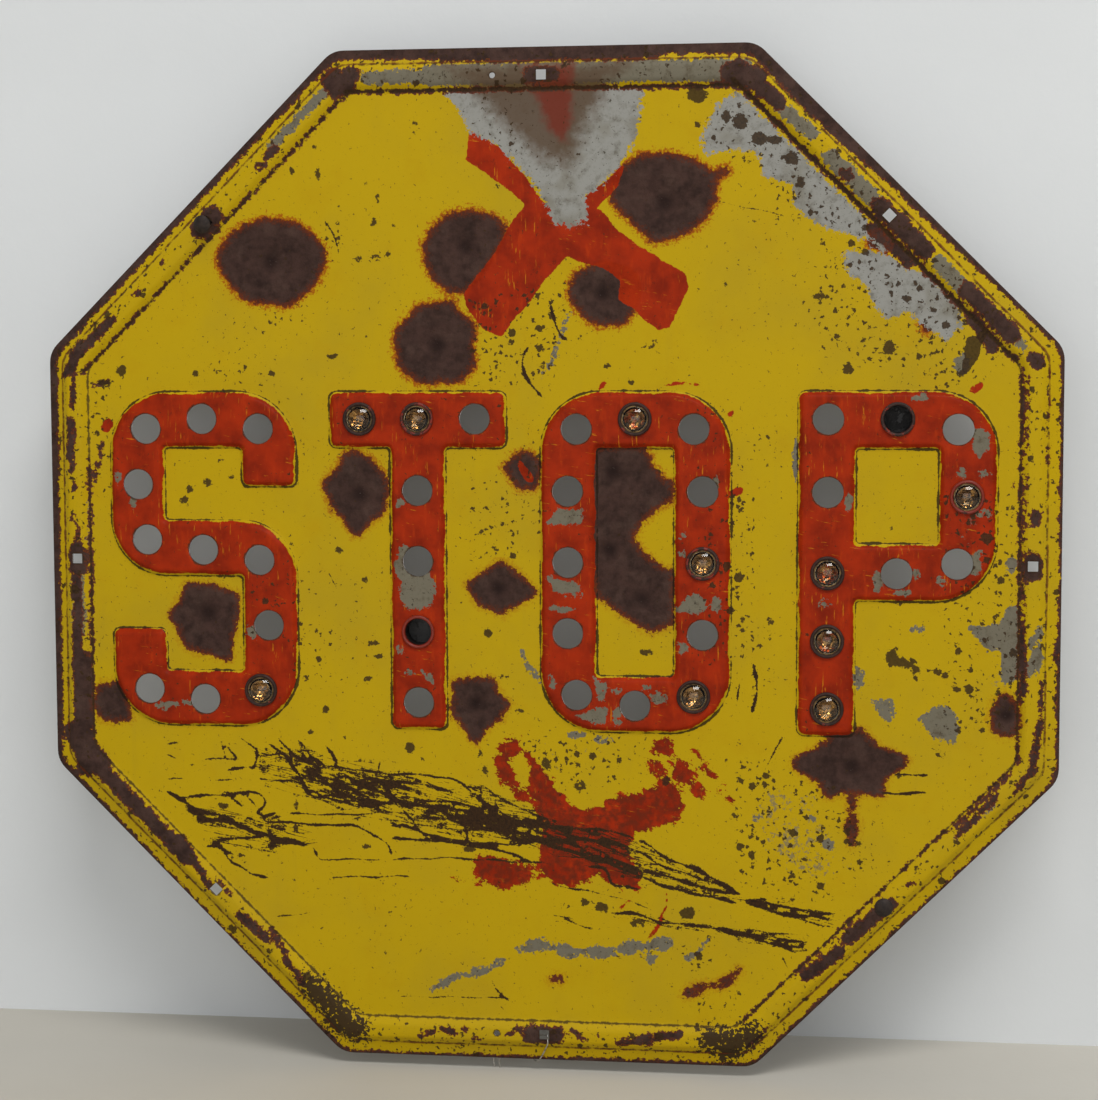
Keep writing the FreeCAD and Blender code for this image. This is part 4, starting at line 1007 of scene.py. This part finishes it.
def chip_edges(f):
    """Distance from the many small chips, of three sizes, crowded in some places."""
    warp = f.node("TexNoise", {"Vector": f.mm, "Scale": 0.4, "Detail": 3.0}, noise_dimensions="2D")
    bent = f.vector("ADD", f.mm, f.vector("SCALE", warp.outputs[1], scale=4.0))
    crowd = f.most(
        f.step(f.noise(110, 3, 0.6), 0.1, 1.0), f.step(f.field("speckle"), 6, -6),
        f.times(f.step(f.field("lichen"), 3, -5), 1.25), f.times(f.step(f.field("apothem"), 281, 285), 0.7),
    )
    edges = []
    for size, largest, rarity in ((24, 3.4, 8.0), (8, 2.1, 4.2), (3.2, 1.15, 3.2)):
        chance = f.node("SeparateColor", {"Color": f.cells(size, bent, output="Color")}).outputs[0]
        radius = f.times(f.math("POWER", chance, rarity), largest)
        grown = f.times(radius, f.total(0.3, (crowd, 0.95)))
        edges.append(f.minus(f.cells(size, bent), grown))
    edges.append(f.total(f.field("chips"), (f.mid, 1.2), (f.fine, 0.6)))
    return f.total(f.least(*edges), (f.fine, 0.4), 0.1)


def crease_lines_and_shade(f):
    """Dark lines along both creases of the rib, with painted shade in the inner crease of the upper sides.
    """
    edges = [f.total(f.field("crease"), (f.mid, 0.5), (f.fine, 0.3))]
    for distance, width in ((INNER_CREASE, 0.6), (OUTER_CREASE, 0.3)):
        away = f.size(f.minus(f.field("apothem"), distance))
        edges.append(f.total(away, -width, (f.mid, 0.7), (f.fine, 0.4)))
    return f.least(*edges)


def scribble_edge(f):
    """Distance from thin strokes that run and cross inside the scribbled regions."""
    edges = []
    zone = f.most(f.total(f.field("scribble"), (f.big, 4.0), 3.5), 0.0)
    for angle, size, rarity in ((11, 5.0, 0.3), (21, 6.4, 0.5), (-2, 7.4, 0.6), (52, 10.0, 1.1)):
        wave = f.noise(size, 2, 0.55, f.stretched(0.06, 1, angle))
        line = f.times(f.size(wave), size)
        edges.append(f.total(line, -0.65, rarity, (zone, 0.3), (f.mid, 0.65)))
    return f.least(*edges)


def speckled(f, edge, reach):
    """Ragged specks outside an edge, fewer further out."""
    return f.step(f.total((f.grit, 1.0), (f.fine, 0.7), (edge, -1.2 / reach)), 0.15, 0.4)


def enamel():
    """The face: yellow paint, red letters and brush strokes, worn through to primer and to rust."""
    f = Finish("weathered_enamel", flat=True)
    f.big, f.mid = f.noise(16, 3, 0.6), f.noise(5, 3, 0.6)
    f.fine, f.grit = f.noise(1.6, 3, 0.65), f.noise(0.7, 2, 0.6)
    tooth = f.noise(2.8, 3, 0.6)
    rust_edge = f.total(f.field("rust"), (f.big, 0.7), (f.mid, 1.1), (tooth, 1.4), f.fine, (f.grit, 0.4))
    border_edge = f.total(f.field("border"), (f.mid, 1.2), (tooth, 1.3), f.fine, (f.big, 0.7), 0.1)
    pits = f.total(f.noise(2.6, 2, 0.6), (f.field("pitting"), -0.12))
    ragged = f.total((f.mid, 2.2), (f.fine, 1.6), (f.grit, 0.6), (f.big, 1.2))
    grey_edge = f.total(f.field("grey"), ragged, (tooth, 2.0))
    olive_edge = f.total(f.field("olive"), (f.mid, 1.6), (tooth, 1.5), (f.fine, 1.2))
    smear_gaps = f.noise(5, 4, 0.7, f.stretched(0.35, 1, 25))
    smear_edge = f.total(f.field("smear"), (f.mid, 2.2), (f.fine, 1.6), (smear_gaps, 3.2), 0.4)
    red_edge = f.total(f.field("red"), (f.mid, 0.6), (f.fine, 0.35), (f.noise(26, 3, 0.6), 1.1))
    stain_edge = f.total(f.field("stain"), (f.mid, 3.0), (f.big, 3.0))
    blush_edge = f.total(f.field("blush"), (f.mid, 2.0), (f.big, 2.0))
    patches = f.noise(34, 3, 0.6)
    # Painted shade and dirt: a dark line round the foot of each letter, where the relief meets the field.
    foot = f.size(f.total(f.field("letter"), -0.7))
    foot = f.total(foot, -0.4, (patches, 0.9), (f.mid, 0.5), (f.fine, 0.3))
    seam = f.size(f.minus(f.field("apothem"), OUTER_CREASE + 0.6))
    seam = f.total(seam, -0.35, (f.mid, 0.5), (patches, 0.5))
    hole_edge = f.total(f.field("hole"), -0.5, (f.mid, 0.9), (f.fine, 0.5))
    gaps = f.noise(4.5, 4, 0.7, f.stretched(0.3, 1, 10))
    dense_edge = f.total(f.most(f.field("dense"), -2.5), (gaps, 7.0), (f.fine, 1.2), 2.4)
    single = f.total(f.field("scratch"), (gaps, 0.7), 0.15)
    scratch_edge = f.least(single, dense_edge, scribble_edge(f))
    scratch_edge = f.total(scratch_edge, (f.fine, 0.5), (f.grit, 0.3))
    lichen = f.step(f.total(f.noise(3.2, 4, 0.75), (f.big, 0.6), (f.field("lichen"), -0.05)), 0.95, 1.1)

    rust = bare_rust(f, f.least(rust_edge, border_edge))
    rim = f.blend(f.step(f.fine, 0.0, 0.9), RUST_RIM, RUST_DARK)
    burnt = f.total(0.3, (f.step(f.node("SeparateXYZ", {0: f.mm}).outputs[1], -40, 120), 0.65))
    bleed = f.times(f.step(f.total(rust_edge, (f.fine, 2.2), (tooth, 1.0)), 3.2, 0.4), burnt)
    red = red_paint(f)
    grey, olive = primer(f, GREY, GREY_DARK), primer(f, OLIVE, OLIVE_DARK)
    grey = f.blend(f.times(f.step(patches, 0.0, 0.8), 0.6), grey, olive)
    dirt = f.blend(f.step(f.fine, -0.6, 0.9), DIRT, DIRT_DARK)
    colour = yellow_paint(f)
    for share, layer in (
        (bleed, ORANGE),
        (f.times(speckled(f, rust_edge, 2.8), burnt), rim),
        (f.inside(rust_edge, 0.2), rust),
        (f.inside(smear_edge, 0.3), f.blend(f.step(f.mid, -0.7, 0.7), red, SMEAR)),
        (f.inside(red_edge, 0.2), red),
        (f.inside(grey_edge, 0.2), grey),
        (f.times(lichen, 0.7), olive),
        (f.inside(olive_edge, 0.2), olive),
        (f.times(f.step(stain_edge, 6.0, -8.0), 0.9), STAIN),
        (f.times(f.step(blush_edge, 4.0, -5.0), 0.8), BLUSH),
        (f.times(speckled(f, border_edge, 1.6), 0.85), rim),
        (f.inside(border_edge, 0.2), rust),
        (f.times(f.step(pits, -0.25, -0.05), 0.95), RUST_DARK),
        # Dark lines in the rib's creases, painted shade among them, in the dirt colours.
        (f.times(f.inside(crease_lines_and_shade(f), 0.4), 0.85), dirt),
        (f.times(f.inside(seam, 0.3), 0.8), RUST_RED),
        # Painted shade and dirt along the foot of the letters.
        (f.times(f.inside(foot, 0.2), 0.9), DIRT_DARK),
        (f.times(f.inside(hole_edge, 0.4), 0.8), dirt),
        (f.times(f.inside(chip_edges(f), 0.2), 0.92), dirt),
        (f.inside(scratch_edge, 0.15), f.blend(f.step(f.fine, -0.6, 0.9), DIRT_WARM, DIRT_DARK)),
    ):
        colour = f.blend(share, colour, layer)

    bare = f.inside(f.least(f.field("rust"), f.field("border")), 1.0)
    rough_rust = f.total((f.mid, 0.10), (f.fine, 0.06), -0.12)
    height = f.total(f.times(bare, rough_rust), (f.mid, 0.012))
    roughness = f.total(0.42, (bare, 0.3), (f.inside(grey_edge, 0.2), 0.15), (f.fine, 0.05))
    return f.surface(Base_Color=colour, Roughness=roughness, Normal=f.bump(height), Specular_IOR_Level=0.06)


def bare_back():
    """The back: grey primer gone brown, rust blooming from the holes and the edge."""
    f = Finish("weathered_back", flat=True)
    big, mid, fine = f.noise(55, 5, 0.65), f.noise(9, 4, 0.65), f.noise(1.8, 3, 0.6)
    colour = f.blend(f.step(big, -0.5, 0.8), linear(122, 118, 108), linear(96, 84, 72))
    colour = f.blend(f.times(f.step(mid, 0.0, 1.2), 0.5), colour, linear(138, 120, 84))
    to_edge = f.minus(APOTHEM, f.field("apothem"))
    bloom = f.total(f.least(f.field("hole"), to_edge), -2.0, (mid, 3.0), (big, 5.0))
    dents = f.total(f.field("rust"), 5.0, (mid, 4.0), (fine, 1.2))
    rust_on = f.inside(f.least(bloom, dents), 1.2)
    rust = f.blend(f.step(mid, -0.8, 0.9), linear(104, 62, 40), linear(66, 44, 36))
    colour = f.blend(f.times(rust_on, 0.9), colour, rust)
    specks = f.step(f.noise(4, 4, 0.7), 0.6, 0.85)
    colour = f.blend(f.times(specks, 0.7), colour, linear(84, 54, 38))
    overspray = f.step(f.total(to_edge, (mid, 5.0)), 9.0, 1.0)
    colour = f.blend(f.times(overspray, 0.35), colour, YELLOW_DULL)
    height = f.total((rust_on, 0.08), (fine, 0.02), (mid, 0.03))
    rough = f.total(0.55, (rust_on, 0.25), (mid, 0.05))
    return f.surface(Base_Color=colour, Roughness=rough, Normal=f.bump(height), Metallic=0.15)


def rusted(name, tones=(RUST, RUST_DARK, RUST_LIGHT), paint=None, share=0.0, metal=0.2, shade_from=None):
    """Rusted steel, part of it still under paint, and painted black as shade past a depth given in mm."""
    main, dark, light = tones
    f = Finish(name)
    mid, fine = f.noise(3.2, 4, 0.65), f.noise(0.8, 3, 0.6)
    colour = f.blend(f.step(mid, -0.7, 0.9), main, dark)
    colour = f.blend(f.times(f.step(fine, 0.2, 1.1), 0.5), colour, light)
    painted = f.step(f.total(f.noise(4.5, 3, 0.6), (fine, 0.35)), 1.1 - 2.2 * share, 1.4 - 2.2 * share)
    if paint:
        colour = f.blend(painted, colour, paint)
        metal = f.blend(painted, metal, 0.0)
    if shade_from is not None:
        # Painted shade: the inside of the cup turns black past that depth.
        depth = f.node("SeparateXYZ", {0: f.mm}).outputs[1]
        recess_shade = f.step(f.total(depth, mid), shade_from, shade_from + 2.5)
        colour = f.blend(recess_shade, colour, linear(24, 20, 18))
        metal = f.blend(recess_shade, metal, 0.0)
    height = f.total((fine, 0.05), (mid, 0.04), (painted, 0.08 if paint else 0.0))
    rough = f.total(0.62, (mid, 0.10), (painted, -0.2 if paint else 0.0))
    return f.surface(Base_Color=colour, Roughness=rough, Normal=f.bump(height), Metallic=metal)


def brass():
    f = Finish("aged_brass")
    mid, fine = f.noise(2.4, 4, 0.6), f.noise(0.6, 2, 0.6)
    colour = f.blend(f.step(mid, -0.6, 0.5), linear(128, 100, 62), linear(56, 42, 30))
    rough = f.total(0.42, (mid, 0.1))
    return f.surface(Base_Color=colour, Metallic=0.8, Roughness=rough, Normal=f.bump(f.times(fine, 0.02)))


def glass():
    """Old pressed glass, a little brown, dusty in patches and faintly uneven."""
    f = Finish("button_glass")
    mid = f.noise(4, 3, 0.6)
    colour = f.blend(f.step(mid, -0.6, 0.9), linear(238, 220, 188), linear(200, 172, 128))
    return f.surface(
        Base_Color=colour, Roughness=f.total(0.05, (f.step(mid, 0.2, 1.2), 0.12)), IOR=1.5,
        Transmission_Weight=1.0, Normal=f.bump(f.total((mid, 0.02))),
    )


def mirror(tarnish):
    """Crumpled bright foil behind the glass, more or less gone brown and orange."""
    f = Finish(f"mirror_foil_{round(tarnish * 100)}")
    tone = f.node("SeparateColor", {"Color": f.cells(2.6, output="Color")}).outputs[0]
    colour = f.blend(tone, linear(232, 214, 178), linear(128, 98, 64))
    spoiled = f.step(f.noise(4, 3, 0.65), 0.9 - 1.6 * tarnish, 1.2 - 1.6 * tarnish)
    colour = f.blend(spoiled, colour, linear(206, 104, 52))
    facets = f.cells(3.0, feature="F1")
    rough = f.total(0.22, (spoiled, 0.25))
    return f.surface(Base_Color=colour, Metallic=0.95, Roughness=rough, Normal=f.bump(facets, 0.6))


def tinned():
    f = Finish("tinned_wire")
    mid = f.noise(2.5, 3, 0.6)
    colour = f.blend(f.step(mid, -0.3, 1.0), linear(196, 192, 184), linear(122, 112, 100))
    rough = f.total(0.32, (mid, 0.1))
    return f.surface(Base_Color=colour, Metallic=0.85, Roughness=rough, Normal=f.bump(f.times(mid, 0.01)))


# How far in from the letter's face a housing is painted black as shade, in millimetres from the back of the
# field.
INSIDE = -4.6


def dress(objects, material):
    for thing in objects:
        thing.data.materials.clear()
        thing.data.materials.append(material)


def finish_pieces(panel):
    """Every piece gets its material."""
    steel = rusted("rusted_edge")
    for material in (enamel(), bare_back(), steel):
        panel.data.materials.append(material)
    nodes = frame["nodes"]

    def named(start):
        return [thing for name, thing in nodes.items() if name.startswith(start)]

    dark = (linear(66, 38, 30), linear(38, 27, 23), linear(96, 66, 50))
    plain_rim = rusted("housing_steel", dark, paint=RED_DARK, share=0.3, metal=0.3, shade_from=INSIDE)
    red_rim = rusted("housing_painted", dark, paint=RED_DARK, share=0.8, shade_from=INSIDE)
    half_rim = rusted("housing_half_painted", dark, paint=RED_DARK, share=0.5, shade_from=INSIDE)
    dress(named("housing_"), plain_rim)
    dress([nodes["housing_t_stem_lower"], nodes["housing_p_right"]], red_rim)
    dress([nodes["housing_o_right_middle"], nodes["housing_p_top"], nodes["housing_t_bar_middle"]], half_rim)
    dress(named("case_"), brass())
    dress(named("lens_"), glass())
    dress(named("mirror_"), mirror(0.15))
    dress([nodes["mirror_" + name] for name in ("o_top", "p_left_middle", "p_left_lower")], mirror(0.6))
    dress(named("retaining_rings"), rusted("spring_steel", metal=0.5))
    bolt_tones = (linear(58, 46, 40), linear(36, 29, 26), linear(88, 66, 52))
    bolt_steel = rusted("bolt_steel", bolt_tones, metal=0.35)
    for start in ("carriage_bolt_", "washer_", "nut_"):
        dress(named(start), bolt_steel)
    dress(named("tag_wire"), tinned())
    for name, thing in nodes.items():
        if name != "sign_panel":
            thing.data.polygons.foreach_set("use_smooth", np.ones(len(thing.data.polygons), bool))


# ---------------------------------------------------------------- stage, lights and camera


def stage_finish(name, colour, other, one_sided=False):
    f = Finish(name)
    shade = f.blend(f.step(f.noise(260, 3, 0.6), -1.0, 1.0), colour, other)
    grain = f.noise(5, 3, 0.6)
    uneven = f.bump(f.times(grain, 0.03))
    f.surface(Base_Color=shade, Roughness=0.75, Normal=uneven, Specular_IOR_Level=0.2)
    if one_sided:
        front = [node for node in f.tree.nodes if node.type == "BSDF_PRINCIPLED"][0]
        behind = f.node("NewGeometry", {}).outputs["Backfacing"]
        clear = f.node("BsdfTransparent", {})
        mix = f.node("MixShader", {0: behind, 1: front.outputs[0], 2: clear.outputs[0]})
        f.tree.links.new(mix.outputs[0], f.output.inputs["Surface"])
    return f.material


def plane(name, corners, material):
    shape = bpy.data.meshes.new(name)
    shape.from_pydata(corners, [], [(0, 1, 2, 3)])
    shape.materials.append(material)
    thing = bpy.data.objects.new(name, shape)
    bpy.context.scene.collection.objects.link(thing)
    return thing


WALL_DEPTH = 0.075
WALL_LEAN = 0.1


def build_stage():
    """A pale floor at the lowest point, and a pale leaning wall that is clear from behind."""
    floor_up = cad_low.z
    wall_y = cad_high.y + WALL_DEPTH
    floor = [(-6, -6, floor_up), (6, -6, floor_up), (6, 6, floor_up), (-6, 6, floor_up)]
    top_y = wall_y - WALL_LEAN * (5 - floor_up)
    wall = [(-6, wall_y, floor_up), (6, wall_y, floor_up), (6, top_y, 5), (-6, top_y, 5)]
    sand = stage_finish("pale_floor", linear(198, 194, 184), linear(188, 184, 174))
    chalk = stage_finish("pale_wall", linear(232, 235, 237), linear(226, 229, 231), one_sided=True)
    plane("floor", floor, sand)
    plane("wall", wall, chalk).visible_shadow = False


def area_light(name, place, target, size, power, colour):
    data = bpy.data.lights.new(name, "AREA")
    data.shape = "RECTANGLE"
    data.size, data.size_y = size
    data.energy = power
    data.color = colour
    lamp = bpy.data.objects.new(name, data)
    lamp.location = place
    lamp.rotation_mode = "QUATERNION"
    lamp.rotation_quaternion = (Vector(target) - Vector(place)).to_track_quat("-Z", "Y")
    bpy.context.scene.collection.objects.link(lamp)


def build_lights():
    """Wide soft lights and a pale world that is dimmer in reflections, so that paint keeps its colour."""
    area_light("ceiling_light", (0.9, -2.3, 3.1), (0, 0, 0), (2.2, 1.2), 84, (1.0, 0.985, 0.96))
    area_light("front_fill", (0.1, -3.6, 0.2), (0, 0, -0.1), (3.4, 2.4), 30, (0.99, 1.0, 1.0))
    # This one stands so low that it grazes the floor and lights the back of the sign alone.
    area_light("back_fill", (0.5, 2.4, -0.1), (0, 0, 0), (1.6, 0.36), 20, (1.0, 0.99, 0.97))
    world = bpy.data.worlds.new("studio")
    world.use_nodes = True
    nodes, links = world.node_tree.nodes, world.node_tree.links
    background = nodes["Background"]
    background.inputs["Color"].default_value = linear(228, 230, 234)
    rays = nodes.new("ShaderNodeLightPath")
    dim = nodes.new("ShaderNodeMapRange")
    dim.inputs["To Min"].default_value = 0.45
    dim.inputs["To Max"].default_value = 0.12
    links.new(rays.outputs["Is Glossy Ray"], dim.inputs["Value"])
    links.new(dim.outputs[0], background.inputs["Strength"])
    bpy.context.scene.world = world
    bpy.context.scene.view_settings.view_transform = "Standard"


# The camera's turn against the sign, in degrees, and the sign's centre seen from the camera, in
# millimetres: to the right, up, and away.
CAMERA_ROLL, CAMERA_PITCH, CAMERA_YAW = 0.19, 4.72, -7.68
CAMERA_AIM = (-3.3, -7.1, 1438.5)
# The focal length as a share of the picture's width.
FOCAL_SHARE = 2.1858


def build_camera():
    data = bpy.data.cameras.new("camera")
    data.sensor_fit = "HORIZONTAL"
    data.sensor_width = 36.0
    data.lens = FOCAL_SHARE * data.sensor_width
    camera = bpy.data.objects.new("camera", data)
    turn = (
        Matrix.Rotation(math.radians(CAMERA_ROLL), 3, "Z")
        @ Matrix.Rotation(math.radians(CAMERA_PITCH), 3, "X")
        @ Matrix.Rotation(math.radians(CAMERA_YAW), 3, "Y")
    )
    # Rows: the sign's across, up and forward directions written in the row frame.
    to_row = Matrix(((1, 0, 0), (0, 0, -1), (0, 1, 0)))
    right, up, away = CAMERA_AIM
    eye = turn.transposed() @ Vector((-right, -up, away)) * MM
    camera.matrix_world = (to_row @ turn.transposed()).to_4x4()
    camera.location = to_row @ eye
    bpy.context.scene.collection.objects.link(camera)
    bpy.context.scene.camera = camera


panel = build_panel()
finish_pieces(panel)
build_stage()
build_lights()
build_camera()
